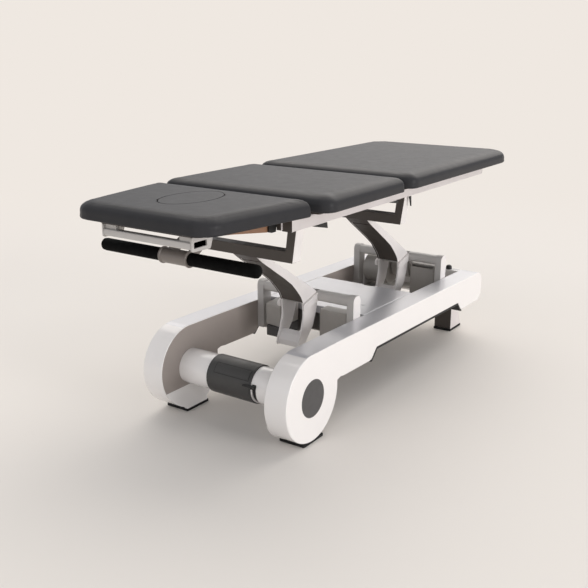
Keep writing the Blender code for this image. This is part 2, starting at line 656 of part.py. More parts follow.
def build_arm(label, dx):
    hub = arc(ARM_TOP[0], ARM_TOP[1], HUB_RADIUS, 234, 51, 9)
    outline = hub + ARM_BACK + ARM_SHIN + list(reversed(BELLY))
    arm = prism_y("arm_" + label, shifted(outline, dx), -ARM_HALF_WIDTH, ARM_HALF_WIDTH, "white_paint")
    inner = ARM_HALF_WIDTH - CHEEK
    hollow = prism_y("arm_hollow_" + label + "_cutter", shifted(ARM_INSIDE, dx), -inner, inner,
                     "dark_paint")
    boolean(arm, hollow)
    block = prism_y("lever_block_" + label + "_helper", rounded(shifted_corners(LEVER_BLOCK, dx), 3),
                    -inner - CHEEK / 2, inner + CHEEK / 2, "grey_paint")
    boolean(arm, block, "UNION")
    top_clearance = GAP if label == "front" else REAR_PIN_CLEARANCE
    for name, (cx, cz), clearance in (("top", ARM_TOP, top_clearance), ("low", ARM_LOW, GAP)):
        hole = prism_y("arm_bore_" + label + "_" + name + "_cutter",
                       disc(cx + dx, cz, PIN_RADIUS + clearance, 20),
                       -0.08, 0.08, "steel")
        boolean(arm, hole)
    outer_line = offset_line(BELLY, BELLY_INSET)
    inner_line = offset_line(BELLY, BELLY_INSET + BELLY_DEPTH)
    strip = outer_line + list(reversed(inner_line))
    prism_y("arm_belly_" + label, shifted(strip, dx), -inner + GAP, inner - GAP, "dark_paint")


def build_portal(label, dx):
    x0 = PORTAL_FRONT + dx
    x1 = x0 + PORTAL_DEPTH
    bar_outline = rounded_rectangle(x0 + 0.003, x1 - 0.003, BAR_BOTTOM, BAR_TOP, 0.014, 4)
    portal = prism_y("portal_" + label, bar_outline, -PORTAL_INNER - 0.01, PORTAL_INNER + 0.01,
                     "grey_paint")
    foot = PAN_TOP + GAP
    upright = rounded([(x0, foot, 0), (x1, foot, 0), (x1, PORTAL_TOP, 0.020), (x0, PORTAL_TOP, 0.020)], 4)
    for tag, sign in both_sides():
        y0, y1 = span(sign, PORTAL_INNER, PORTAL_OUTER)
        boolean(portal, prism_y("portal_upright_" + label + "_" + tag + "_helper", upright, y0, y1,
                                "grey_paint"),
                "UNION")
    side = ARM_HALF_WIDTH + 0.0015
    pocket = box("portal_pocket_" + label + "_cutter", x0 - 0.01, x0 + 0.033, -side, side, 0.30, 0.45,
                 "grey_paint")
    boolean(portal, pocket)
    for tag, sign in both_sides():
        y0, y1 = span(sign, PORTAL_LUG_INNER, PORTAL_LUG_OUTER)
        lug = prism_y("portal_lug_" + label + "_" + tag + "_helper",
                      rounded(shifted_corners(PORTAL_LUG, dx), 4), y0, y1,
                      "grey_paint")
        boolean(portal, lug, "UNION")
    pin = prism_y("portal_pin_" + label + "_helper", disc(ARM_LOW[0] + dx, ARM_LOW[1], PIN_RADIUS, 20),
                  -PORTAL_LUG_OUTER + 0.001, PORTAL_LUG_OUTER - 0.001, "steel")
    boolean(portal, pin, "UNION")


# Base

def cover_profile():
    circle = arc(DRUM_X, DRUM_Z, DRUM_RADIUS, 5, -270, 44)
    circle.pop()
    profile = circle + COVER_LINE_TOP
    profile += arc(COVER_END_X, COVER_END_HIGH, COVER_END_RADIUS, 80, 0, 6)
    profile += arc(COVER_END_X, COVER_END_LOW, COVER_END_RADIUS, 0, -90, 6)
    return profile + COVER_LINE_BOTTOM


def build_covers():
    for tag, sign in both_sides():
        y0, y1 = span(sign, COVER_INNER, COVER_OUTER)
        cover = prism_y("side_cover_" + tag, cover_profile(), y0, y1, "white_plastic")
        bevel(cover, COVER_EDGE, 2, 50)
        wall0, wall1 = span(sign, COVER_INNER + 0.005, COVER_OUTER - 0.005)
        cavity = prism_y("cover_cavity_" + tag + "_cutter", CAVITY, wall0, wall1, "white_plastic")
        boolean(cover, cavity)
        cut0, cut1 = span(sign, COVER_OUTER - CAP_DEPTH, COVER_OUTER + 0.01)
        recess = prism_y("cap_recess_" + tag + "_cutter", disc(DRUM_X, DRUM_Z, CAP_RADIUS + GAP, 40),
                         cut0, cut1,
                         "white_plastic")
        boolean(cover, recess)
        cap0, cap1 = span(sign, COVER_OUTER - CAP_DEPTH + GAP, COVER_OUTER + CAP_PROUD)
        cap = prism_y("drum_cap_" + tag, disc(DRUM_X, DRUM_Z, CAP_RADIUS, 40), cap0, cap1,
                      "dark_grey_plastic")
        bevel(cap, CAP_PROUD, 1, 60)


def ring_sector(radius_in, radius_out, start, end, steps):
    outline = arc(DRUM_X, DRUM_Z, radius_out, start, end, steps)
    return outline + arc(DRUM_X, DRUM_Z, radius_in, end, start, steps)


def build_base_cross():
    reach = COVER_INNER - GAP
    cylinder = prism_y("cross_cylinder", disc(DRUM_X, DRUM_Z, CYLINDER_RADIUS, 48), -reach, reach,
                       "white_plastic")
    groove = prism_y("slot_cutter", ring_sector(CYLINDER_RADIUS - SLOT_DEPTH, CYLINDER_RADIUS + 0.010,
                                                *SLOT_ANGLES, 18),
                     SLOT_NEAR, SLOT_FAR, "black_plastic")
    boolean(cylinder, groove)
    sleeve = prism_y("cylinder_sleeve", disc(DRUM_X, DRUM_Z, SLEEVE_RADIUS, 48), SLEEVE_NEAR, SLEEVE_FAR,
                     "dark_grey_plastic")
    bevel(sleeve, 0.0015, 2, 60)
    hollow = prism_y("sleeve_hollow_cutter", disc(DRUM_X, DRUM_Z, CYLINDER_RADIUS + GAP, 48), -0.15, 0.15,
                     "dark_grey_plastic")
    boolean(sleeve, hollow)
    panel = ring_sector(SLEEVE_RADIUS + 0.0014, SLEEVE_RADIUS + GAP, *HATCH_ANGLES, 6)
    prism_y("sleeve_hatch", panel, -0.0860, 0.0600, "dark_grey_plastic")
    start, end = LEVER_ANGLES
    shank = ring_sector(CYLINDER_RADIUS - SLOT_DEPTH + 0.001, SLEEVE_RADIUS + LEVER_RISE, start, end, 4)
    lever = prism_y("slot_lever", shank, SLOT_NEAR + 0.0015, SLOT_FAR - 0.0015, "black_plastic")
    tongue = ring_sector(SLEEVE_RADIUS + 0.0020, SLEEVE_RADIUS + 0.0060, start + 3, end - 3, 3)
    tip = prism_y("lever_tip_helper", tongue, -0.1100, -0.0700, "black_plastic")
    boolean(lever, tip, "UNION")


def deck_height(x):
    return COVER_LINE_TOP[2][1] - DECK_SLOPE * (x - COVER_LINE_TOP[2][0])


def build_deck():
    reach = COVER_INNER - GAP
    front = deck_height(DECK_FRONT)
    back = deck_height(DECK_REAR)
    outline = [(DECK_FRONT, front - DECK_DEPTH), (DECK_REAR, back - DECK_DEPTH), (DECK_REAR, back),
               (DECK_FRONT, front)]
    deck = prism_y("deck", outline, -reach, reach, "white_plastic")
    bevel(deck, 0.004, 2, 60)
    cx, cy = NOTCH_CENTRE
    rx, ry = NOTCH_RADII
    turns = [math.radians(a) for a in range(0, 360, 15)]
    notch = prism_z("deck_notch_cutter", [(cx + rx * math.cos(a), cy + ry * math.sin(a)) for a in turns],
                    0.20, 0.40,
                    "white_plastic")
    boolean(deck, notch)
    slot = prism_z("deck_slot_cutter", rounded_rectangle(*DECK_SLOT, 0.002, 2), 0.3000, 0.3200,
                   "black_plastic")
    boolean(deck, slot)
    rear = [(0.7800, 0.1600), (COVER_END_X, COVER_END_LOW - COVER_END_RADIUS + 0.0002)]
    rear += arc(COVER_END_X, COVER_END_LOW, COVER_END_RADIUS, -90, 0, 5)[1:]
    rear += arc(COVER_END_X, COVER_END_HIGH, COVER_END_RADIUS, 0, 80, 5)
    rear += [(0.7800, 0.2884)]
    cover = prism_y("rear_cover", rear, -reach, reach, "white_plastic")
    bevel(cover, 0.002, 1, 60)
    kx, ky = KNOB_PLACE
    rings = []
    for radius, z in KNOB_RINGS:
        rings.append([(kx + px, ky + py, z) for px, py in disc(0, 0, radius, 20)])
    loft("rear_knob", rings, "black_plastic")
    pan = box("chassis_pan", *PAN_ENDS, -reach, reach, PAN_TOP - PAN_SHEET, PAN_TOP, "dark_paint")
    for tag, (x0, x1) in PAN_WINDOWS.items():
        window = box("pan_window_" + tag + "_cutter", x0, x1, -PAN_WINDOW_HALF, PAN_WINDOW_HALF,
                     PAN_TOP - 0.05,
                     PAN_TOP + 0.05, "dark_paint")
        boolean(pan, window)


def build_drives():
    far_box = prism_z("drive_front_far", rounded([
        (-0.2000, 0.0670, 0.006), (-0.0750, 0.0670, 0.006), (-0.0750, 0.1480, 0.006),
        (-0.1900, 0.1480, 0.020),
    ], 4), 0.2380, 0.3210, "grey_paint")
    bevel(far_box, 0.003, 2, 60)
    prism_z("drive_front_far_base", rounded_rectangle(-0.2030, -0.0750, 0.0650, 0.1300, 0.004),
            PAN_TOP + GAP,
            0.2377, "black_plastic")
    near_box = box("drive_front_near", -0.1250, -0.0700, -0.1790, -0.0620, PAN_TOP + GAP, 0.3170,
                   "grey_paint")
    bevel(near_box, 0.003, 2, 60)
    barrel = prism_y("drive_rear_barrel", disc(0.6650, 0.2800, 0.0655, 40), 0.0520, 0.1700, "grey_paint")
    bevel(barrel, 0.005, 2, 60)
    spigot = prism_y("barrel_spigot_helper", disc(0.6850, 0.3020, 0.0480, 32), -0.0425, 0.0425,
                     "grey_paint")
    bridge = box("barrel_bridge_helper", 0.7050, 0.7200, 0.0100, 0.1000, 0.2700, 0.3200, "grey_paint")
    boolean(barrel, spigot, "UNION")
    boolean(barrel, bridge, "UNION")
    plate = prism_y("drive_rear_plate", rounded([
        (0.6150, PAN_TOP + GAP, 0.002), (0.7400, PAN_TOP + GAP, 0.002), (0.7150, 0.3250, 0.035),
        (0.6250, 0.3250, 0.030),
    ], 5), 0.1704, 0.1790, "grey_paint")
    hole = prism_y("plate_hole_cutter", disc(0.6400, 0.2600, 0.0070, 16), 0.16, 0.19, "grey_paint")
    boolean(plate, hole)
    near_rear = box("drive_rear_near", 0.6200, 0.7000, -0.1790, -0.0620, PAN_TOP + GAP, 0.3400,
                    "grey_paint")
    bevel(near_rear, 0.002, 1, 60)
    groove = box("near_rear_slot_cutter", 0.60, 0.6450, -0.1720, -0.0690, 0.3240, 0.3350, "black_plastic")
    boolean(near_rear, groove)


def build_feet():
    x0, x1, inner, outer = FRONT_PAD
    block0, block1 = FRONT_BLOCK
    low = PAD_DEPTH + GAP
    start = math.degrees(math.asin((WEDGE_TOP - DRUM_Z) / DRUM_RADIUS))
    first = 360 - math.degrees(math.acos((block0 - DRUM_X) / DRUM_RADIUS))
    second = 360 - math.degrees(math.acos((block1 - DRUM_X) / DRUM_RADIUS))
    segment = arc(DRUM_X, DRUM_Z, DRUM_RADIUS, 180 - start, first, 8) + [(block0, low), (block1, low)]
    segment += arc(DRUM_X, DRUM_Z, DRUM_RADIUS, second, 360 + start, 8)
    for tag, sign in both_sides():
        y0, y1 = span(sign, inner, outer)
        prism_z("front_pad_" + tag, rounded_rectangle(x0, x1, y0, y1, 0.004, 2), 0.0, PAD_DEPTH,
                "black_rubber")
        face = COVER_INNER - GAP
        y0, y1 = span(sign, face - 0.03, face)
        foot = prism_y("front_foot_" + tag, segment, y0, y1, "grey_paint")
        slope = [(sign * (face + 0.01), low - 0.005), (sign * (face - WEDGE_REACH), low - 0.005),
                 (sign * (face - WEDGE_REACH), low + 0.004), (sign * (face - 0.001), WEDGE_TOP - 0.0005),
                 (sign * (face + 0.01), WEDGE_TOP - 0.0005)]
        wedge = prism_x("front_wedge_" + tag + "_helper", slope, DRUM_X - 0.2, DRUM_X + 0.2, "grey_paint")
        boolean(foot, wedge, "INTERSECT")
    x0, x1, inner, outer = REAR_PAD
    top0, top1 = REAR_BLOCK_TOP_X
    for tag, sign in both_sides():
        y0, y1 = span(sign, inner, outer)
        prism_z("rear_pad_" + tag, rounded_rectangle(x0, x1, y0, y1, 0.004, 2), 0.0, PAD_DEPTH,
                "black_rubber")
        profile = [(x0 + 0.006, low), (x1 - 0.004, low), (top1, REAR_BLOCK_TOP), (top0, REAR_BLOCK_TOP)]
        prism_y("rear_foot_" + tag, profile, y0 + 0.002, y1 - 0.002, "white_plastic")


# Joint axes: an empty on each, which carries the pieces that move about it

UPPER_FRAME = [
    "rail_near", "rail_far", "rail_plug_near", "rail_plug_far", "cross_beam_front", "cross_beam_rear",
    "cushion_rest_front", "cushion_rest_rear", "middle_cushion", "middle_board", "head_hinge_pin",
    "foot_hinge_pin",
]
HEAD_SECTION = [
    "head_cushion", "head_board", "head_frame", "head_front_bar", "head_side_plate_near",
    "head_side_plate_far", "head_hinge_plate_near", "head_hinge_plate_far",
]
AXES = [
    ("lift_front_axis", None, (ARM_LOW[0], 0.0, ARM_LOW[1]), ["arm_front", "arm_belly_front"]),
    ("lift_rear_axis", None, (ARM_LOW[0] + ARM_SPACING, 0.0, ARM_LOW[1]), ["arm_rear", "arm_belly_rear"]),
    ("level_axis", "lift_front_axis", (ARM_TOP[0], 0.0, ARM_TOP[1]), UPPER_FRAME),
    ("head_axis", "level_axis", (HEAD_JOINT, 0.0, HINGE_HEIGHT), HEAD_SECTION),
    ("foot_axis", "level_axis", (FOOT_JOINT, 0.0, HINGE_HEIGHT),
     ["foot_cushion", "foot_board", "foot_frame"]),
    ("plug_axis", "head_axis", (PLUG_CENTRE, 0.0, CUSHION_BOTTOM), ["face_plug"]),
    ("handle_axis", "head_axis", (HANDLE_PIVOT[0], 0.0, HANDLE_PIVOT[1]),
     ["handle_tube", "handle_sleeve", "grip_near", "grip_far"]),
    ("lever_axis", None, (DRUM_X, 0.0, DRUM_Z), ["slot_lever"]),
]


def world_place(name):
    """Where an axis lies in the world, from its row in the list."""
    return next(Vector(row[2]) for row in AXES if row[0] == name)


def hang_on_axes():
    for name, above, point, pieces in AXES:
        axis = bpy.data.objects.new(name, None)
        bpy.context.scene.collection.objects.link(axis)
        axis.location = point
        if above:
            axis.parent = bpy.data.objects[above]
            axis.location = Vector(point) - world_place(above)
        for piece in pieces:
            obj = bpy.data.objects[piece]
            obj.parent = axis
            obj.location = -Vector(point)


clear_scene()
build_cushions()
build_head_frame()
build_foot_frame()
build_hinge_pins()
build_handle()
build_rails()
build_cross_beams()
for arm_label, arm_shift in (("front", 0.0), ("rear", ARM_SPACING)):
    build_arm(arm_label, arm_shift)
    build_portal(arm_label, arm_shift)
build_covers()
build_base_cross()
build_deck()
build_drives()
build_feet()
hang_on_axes()
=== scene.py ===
"""Treatment table: cushions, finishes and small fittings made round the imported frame.

Metres, Z up. X runs from the head end to the foot end and the near side is -Y.
"""

import json
import math

import bmesh
import bpy
from bpy.props import FloatProperty, FloatVectorProperty, PointerProperty
from mathutils import Matrix, Vector


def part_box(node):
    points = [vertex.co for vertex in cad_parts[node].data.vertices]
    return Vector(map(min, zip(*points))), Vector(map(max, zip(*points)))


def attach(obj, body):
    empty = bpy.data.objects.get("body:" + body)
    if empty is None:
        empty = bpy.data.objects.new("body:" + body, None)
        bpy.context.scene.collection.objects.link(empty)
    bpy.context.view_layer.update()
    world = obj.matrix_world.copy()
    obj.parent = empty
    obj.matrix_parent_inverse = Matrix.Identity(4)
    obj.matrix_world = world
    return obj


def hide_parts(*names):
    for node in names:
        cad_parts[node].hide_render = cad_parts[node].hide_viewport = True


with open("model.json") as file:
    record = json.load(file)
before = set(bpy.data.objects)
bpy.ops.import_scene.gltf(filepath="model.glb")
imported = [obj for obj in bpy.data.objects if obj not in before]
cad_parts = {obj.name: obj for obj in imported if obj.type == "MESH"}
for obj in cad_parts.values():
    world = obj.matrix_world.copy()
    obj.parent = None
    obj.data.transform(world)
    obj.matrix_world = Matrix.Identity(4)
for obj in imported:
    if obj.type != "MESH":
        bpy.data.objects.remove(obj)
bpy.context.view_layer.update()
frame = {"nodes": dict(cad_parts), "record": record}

bl_info = {
    "name": "Treatment Table Finish",
    "version": (1, 0, 0),
    "blender": (4, 5, 0),
    "location": "3D View > Sidebar > Table",
    "description": "Upholsters and finishes a height-adjustable treatment table",
    "category": "Object",
}

MM = 0.001
BODY = {node: body for body, nodes in frame["record"]["behaviour"]["bodies"].items() for node in nodes}
SIDES = {"near": -1, "far": 1}

# Places that the frame's own pieces give
RAIL_LOW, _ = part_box("rail_near")
COVER_LOW, COVER_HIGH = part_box("side_cover_near")
CAP_LOW, CAP_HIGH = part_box("drum_cap_near")
DRUM = Vector(((CAP_LOW.x + CAP_HIGH.x) / 2, 0.0, (CAP_LOW.z + CAP_HIGH.z) / 2))
PLUG_LOW, PLUG_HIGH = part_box("face_plug")

# Copies of CAD nodes: when two points are one, when two faces are one, which edges are rounded on
# boxy and on round pieces, how widely, and how far the boards are drawn in
WELD = 0.00003
FLAT_DEGREES = 0.5
SHARP_DEGREES = 32
ROUND_DEGREES = 50
FINE_EDGE = 0.0004
SOFT_EDGE = 0.0006
PAD_EDGE = 0.0012
BOARD_INSET = 0.014

# Where one piece changes its paint: painted shade under the arms' cheeks and on the rails' head ends, white
# lug faces and lacquered tops
BELLY_TOP = 0.365
RAIL_INNER_FACE = 0.1915
LUG_SPAN = (0.050, 0.0605)
LOWEST_TOP = 0.25

# Cushions: the cloth simulation, the seam of the plug and its pull tabs
PRESSURE = 4.0
CLOTH_QUALITY = 4
LAST_FRAME = 20
SMOOTH_PASSES = 2
FILL_MARGIN = 0.004
SEAM_REACH = 0.02
SEAM_DEPTH = 0.0028
SEAM_CREST = 0.0012
SEAM_GAP = 0.0012
SEAM_FLARE = 0.0032
PLUG_ROUND = 0.0020
TABS = (("head", -0.8407, 0.0568), ("foot", -0.6577, -0.0530))
TAB_SIZE = (0.014, 0.0034, 0.009)
TAB_EDGE = 0.0010
TAB_DEGREES = 35
TAB_SUNK = 0.0016

# Side covers as (x, z): the drum's radius, the top, the round rear end and the arched lower edge
DRUM_RADIUS = 0.1527
COVER_TOP = [(-0.480, 0.3142), (-0.400, 0.3140), (-0.300, 0.3120), (0.800, 0.2880)]
REAR_END_X = 0.809
REAR_END_UPPER = 0.2430
REAR_END_LOWER = 0.2020
REAR_END_RADIUS = 0.045
COVER_ARCH = [(-0.1530, 0.1770), (-0.1170, 0.2130), (0.6000, 0.1970), (0.6300, 0.1640), (0.6420, 0.1580)]
COVER_BELLY = [(-0.1650, 0.1740), (-0.3450, 0.1780), (-0.3680, 0.1810)]
COVER_RIM = 0.0035

# The seal's front point, and how far each lower point slips back and drops, in thicknesses
SEAL_FRONT = (-0.1560, 0.1752)
SEAL_DROPS = ((0.0, 1.0), (-0.5, 0.9), (-0.45, 1.0), (0.4, 1.0), (0.6, 0.8), (0.4, 0.9))

# Black stops under the rails, as (x, z) outlines, and the Y places of their two faces in the rail
UNDER_RAIL = RAIL_LOW.z - 0.0002
STOPS = {
    "front": [(-0.4346, UNDER_RAIL), (-0.3480, UNDER_RAIL), (-0.3440, 0.6870), (-0.3560, 0.6900)],
    "middle": [(0.0813, UNDER_RAIL), (0.1530, UNDER_RAIL), (0.1530, 0.6960), (0.1440, 0.6970)],
    "rear": [(0.2440, UNDER_RAIL), (0.2600, UNDER_RAIL), (0.2640, 0.6680), (0.2600, 0.6680)],
}
STOP_OUTER = 0.0002
STOP_INNER = 0.0042

# White faces of the drop brackets: their lower |y|, and how far their edges stay inside the bracket
BRACKET_FOOT = 0.2055
BRACKET_SIDE = 0.0003
BRACKET_BELOW = 0.0010
BRACKET_ABOVE = 0.0006
BRACKET_GAP = 0.0001

# Cross cylinder: radii, the slot's lining, and seams as (name, Y places, degrees round the cylinder)
CYLINDER_RADIUS = 0.064
SLEEVE_RADIUS = 0.068
SLOT_DEPTH = 0.0058
LINING = 0.0012
LINING_ACROSS = (-0.1208, -0.1047)
LINING_TURN = (161, 284)
SEAM_SUNK = 0.0008
SEAM_PROUD = 0.0002
SEAMS = (
    ("near", (-0.0885, -0.0870), (121, 155)),
    ("far", (0.0610, 0.0625), (121, 155)),
    ("upper", (-0.0870, 0.0610), (121, 122.3)),
    ("lower", (-0.0870, 0.0610), (153.7, 155)),
    ("end", (-0.0945, -0.0935), (100, 290)),
    ("foot", (-0.0935, 0.0850), (243, 244.2)),
)
STRIP_STEP = 4

# Soft suns: name, heading from +Y towards +X, height, spread in degrees, strength, colour
SUNS = (
    ("key_behind", 74.0, 50.0, 76.0, 1.9, "#FFF8F0"),
    ("fill_near", 178.0, 9.0, 24.0, 1.24, "#FFFCFC"),
    ("fill_head", 264.0, 24.0, 80.0, 0.42, "#FBFAFC"),
)
AMBIENT = 0.68
SURROUND_TINT = "#E6E7EA"
FLOOR_TINT = "#E1DDD8"
FLOOR_RADIUS = 60.0
FADE_START = 1.7
FADE_END = 5.0

# The camera's place, its heading from +Y towards +X and its pitch down in degrees, and its focal length
# in pixels of a picture this wide
CAMERA_PLACE = (-2.6429, -1.6873, 1.2702)
CAMERA_HEADING = 55.32
CAMERA_PITCH = 16.63
FOCAL_PIXELS = 833.8
PICTURE_PIXELS = 588.0
SENSOR_WIDTH = 36.0


# Sizes and colours

def linear(code):
    """An sRGB hex colour as linear RGBA."""
    channels = [int(code[i:i + 2], 16) / 255 for i in (1, 3, 5)]
    bent = [c / 12.92 if c <= 0.04045 else ((c + 0.055) / 1.055) ** 2.4 for c in channels]
    return (*bent, 1.0)


def length(name, description, default):
    return FloatProperty(name=name, description=description, default=default, min=0.0, unit="LENGTH")


def colour(name, description, code):
    return FloatVectorProperty(name=name, description=description, subtype="COLOR", size=4, min=0.0,
                               max=1.0, default=linear(code))


class TableSizes(bpy.types.PropertyGroup):
    """Sizes of the upholstery and of the softened edges."""
    cushion_grid: length("Cushion mesh size", "Side of the squares in the cushions' skins", 0.006)
    head_grid: length("Head cushion mesh size", "Finer squares round the face opening", 0.0045)
    cushion_shrink: length("Cushion slack", "How far a cushion's skin starts inside its foam", 0.0014)
    cushion_swell: length("Cushion swell", "How far the pressure may move a point of the skin", 0.0020)
    edge: length("Metal edge", "Radius of the broken edges on sheet and tube", 0.0008)
    trim: length("Trim thickness", "Thickness of the black seal under the side covers", 0.0075)
    face_plate: length("Bracket face", "Thickness of the white faces on the drop brackets", 0.0012)


class TableColours(bpy.types.PropertyGroup):
    """Colours of the finishes, some of which are painted shade on faces turned from the light."""
    vinyl: colour("Upholstery", "Charcoal vinyl of the cushions", "#373739")
    shell: colour("Covers", "White moulded covers", "#F4F1EF")
    white: colour("White paint", "Rails and the outside of the lift arms", "#EFEBE9")
    # On the portals this grey is painted shade: it stands for the shade on their white paint, whose own
    # colour shows on the sides
    grey: colour("Grey paint", "Portals and the frames under the cushions", "#C4C1BE")
    # Painted shade: this darker colour on the covers' inner walls stands for the shade between the covers
    inside: colour("Cover insides", "Inner walls of the side covers", "#A49B95")
    pearl: colour("Deck lacquer", "Pearl lacquer of the deck and the cover tops", "#D0D0D4")
    rail: colour("Rails", "Pale grey paint of the rails", "#D9D3D2")
    bronze: colour("Arm sides", "Bronze sides of the head section's arms", "#8F6A50")
    foam: colour("Grips", "Foam grips of the pull handle", "#060606")
    sleeve: colour("Handle sleeve", "Grey-brown sleeve of the pull handle", "#7E7772")
    # Painted shade: this dark umber stands for the shade on the cross beams, the arms' bellies and
    # undersides, the rails' head ends and the rear feet's head faces
    painted_shade: colour("Dark paint", "Cross beams and the inside of the arms", "#443D38")
    black: colour("Black plastic", "Hinge plates, plugs and trim", "#0E0D0D")
    charcoal: colour("Grey plastic", "Drum caps", "#4C4B4B")
    graphite: colour("Dark plastic", "Sleeve of the cross cylinder", "#3F3E3D")
    drive: colour("Drive housings", "Grey housings of the drives", "#A9A5A0")
    rubber: colour("Rubber", "Floor pads", "#101010")
    wood: colour("Plywood", "Boards under the cushions", "#2A1D16")
    floor: colour("Floor", "Pale studio floor", "#EFE8E1")


# Shader nodes

def add(tree, kind, inputs=None, **settings):
    """Adds a shader node, sets its properties, and fills or links its inputs by name or number."""
    made = tree.nodes.new(kind)
    for key, value in settings.items():
        setattr(made, key, value)
    for key, value in (inputs or {}).items():
        if isinstance(value, bpy.types.NodeSocket):
            tree.links.new(value, made.inputs[key])
        else:
            made.inputs[key].default_value = value
    return made


def cell(size):
    """Noise and Voronoi scale that gives features of this size in metres."""
    return 1.0 / size


def ramp(tree, factor, stops):
    """A colour ramp with (place, colour) stops."""
    made = add(tree, "ShaderNodeValToRGB", {"Fac": factor})
    elements = made.color_ramp.elements
    while len(elements) < len(stops):
        elements.new(1.0)
    for element, (place, tint) in zip(elements, stops):
        element.position = place
        element.color = tint
    return made.outputs[0]


def shade(tint, factor):
    """A lighter or darker version of a colour."""
    return tuple(min(c * factor, 1.0) for c in tint[:3]) + (1.0,)


def drifting(tree, place, tint, spread, size):
    """A colour that drifts between two close shades over patches of this size."""
    noise = add(tree, "ShaderNodeTexNoise", {"Vector": place, "Scale": cell(size), "Detail": 3.0})
    stops = [(0.35, shade(tint, 1 - spread)), (0.65, shade(tint, 1 + spread))]
    return ramp(tree, noise.outputs["Fac"], stops)


def drifting_gloss(tree, place, roughness, drift, size):
    """Roughness that wanders as on a handled surface."""
    noise = add(tree, "ShaderNodeTexNoise", {"Vector": place, "Scale": cell(size), "Detail": 4.0})
    gloss = add(tree, "ShaderNodeMapRange", {
        "Value": noise.outputs["Fac"], "From Min": 0.3, "From Max": 0.7,
        "To Min": roughness - drift, "To Max": roughness + drift,
    })
    return gloss.outputs[0]


def start_material(name):
    material = bpy.data.materials.new(name)
    material.use_nodes = True
    tree = material.node_tree
    tree.nodes.clear()
    return material, tree, add(tree, "ShaderNodeTexCoord").outputs["Object"]


def close_material(tree, inputs):
    shader = add(tree, "ShaderNodeBsdfPrincipled", inputs)
    add(tree, "ShaderNodeOutputMaterial", {"Surface": shader.outputs[0]})


def coated(name, tint, roughness, grain, relief, spread=0.03, patch=0.12, drift=0.05, **constants):
    """A moulded or coated surface: drifting colour and gloss over a fine grain of the given size."""
    material, tree, place = start_material(name)
    fine = add(tree, "ShaderNodeTexNoise", {"Vector": place, "Scale": cell(grain), "Detail": 2.0})
    bump = add(tree, "ShaderNodeBump", {"Height": fine.outputs["Fac"], "Distance": relief})
    inputs = {
        "Base Color": drifting(tree, place, tint, spread, patch),
        "Roughness": drifting_gloss(tree, place, roughness, drift, patch * 0.4),
        "Normal": bump.outputs[0],
    }
    inputs.update({key.replace("_", " ").title(): value for key, value in constants.items()})
    close_material(tree, inputs)
    return material


# Finishes

def pvc_upholstery(tint):
    """PVC-coated cloth, embossed: a soft satin with a pebble grain and broad, slight changes of gloss.

    The real grain is under 1 mm and is drawn at 1.7 mm, the smallest that shows.
    """
    material, tree, place = start_material("embossed_pvc_upholstery")
    pebble = add(tree, "ShaderNodeTexVoronoi", {"Vector": place, "Scale": cell(1.7 * MM), "Randomness": 0.9},
                 feature="SMOOTH_F1")
    crease = add(tree, "ShaderNodeTexNoise", {"Vector": place, "Scale": cell(22 * MM), "Detail": 5.0})
    height = add(tree, "ShaderNodeMix", {0: 0.35, 2: pebble.outputs["Distance"], 3: crease.outputs["Fac"]},
                 data_type="FLOAT")
    bump = add(tree, "ShaderNodeBump", {"Height": height.outputs[0], "Distance": 0.16 * MM, "Strength": 0.8})
    close_material(tree, {
        "Base Color": drifting(tree, place, tint, 0.03, 40 * MM),
        "Roughness": drifting_gloss(tree, place, 0.36, 0.02, 30 * MM),
        "Normal": bump.outputs[0],
        "Specular IOR Level": 0.09,
    })
    return material


def foam_grip(tint):
    """Nitrile foam sleeve: matt black with open pores, which takes the light without any shine."""
    material, tree, place = start_material("nitrile_foam_grip")
    pore = add(tree, "ShaderNodeTexVoronoi", {"Vector": place, "Scale": cell(1.6 * MM)})
    bump = add(tree, "ShaderNodeBump", {"Height": pore.outputs["Distance"], "Distance": 0.3 * MM})
    close_material(tree, {
        "Base Color": drifting(tree, place, tint, 0.2, 18 * MM),
        "Roughness": drifting_gloss(tree, place, 0.78, 0.08, 12 * MM),
        "Normal": bump.outputs[0],
        "Specular IOR Level": 0.1,
    })
    return material


def layered_plywood(tint):
    """Birch plywood, stained and lacquered: 1.4 mm plies show as bands on the edges."""
    material, tree, place = start_material("stained_birch_plywood")
    plies = add(tree, "ShaderNodeTexWave", {"Vector": place, "Scale": cell(2.8 * MM) / 3, "Distortion": 0.6},
                bands_direction="Z")
    grain_place = add(tree, "ShaderNodeMapping", {"Vector": place, "Scale": (1.0, 9.0, 1.0)})
    grain = add(tree, "ShaderNodeTexNoise", {
        "Vector": grain_place.outputs[0], "Scale": cell(60 * MM), "Detail": 6.0,
    })
    mixed = add(tree, "ShaderNodeMix", {0: 0.5, 2: plies.outputs["Fac"], 3: grain.outputs["Fac"]},
                data_type="FLOAT")
    bump = add(tree, "ShaderNodeBump", {"Height": mixed.outputs[0], "Distance": 0.08 * MM})
    close_material(tree, {
        "Base Color": ramp(tree, mixed.outputs[0], [(0.3, shade(tint, 0.75)), (0.7, shade(tint, 1.3))]),
        "Roughness": drifting_gloss(tree, place, 0.5, 0.06, 40 * MM),
        "Normal": bump.outputs[0],
    })
    return material


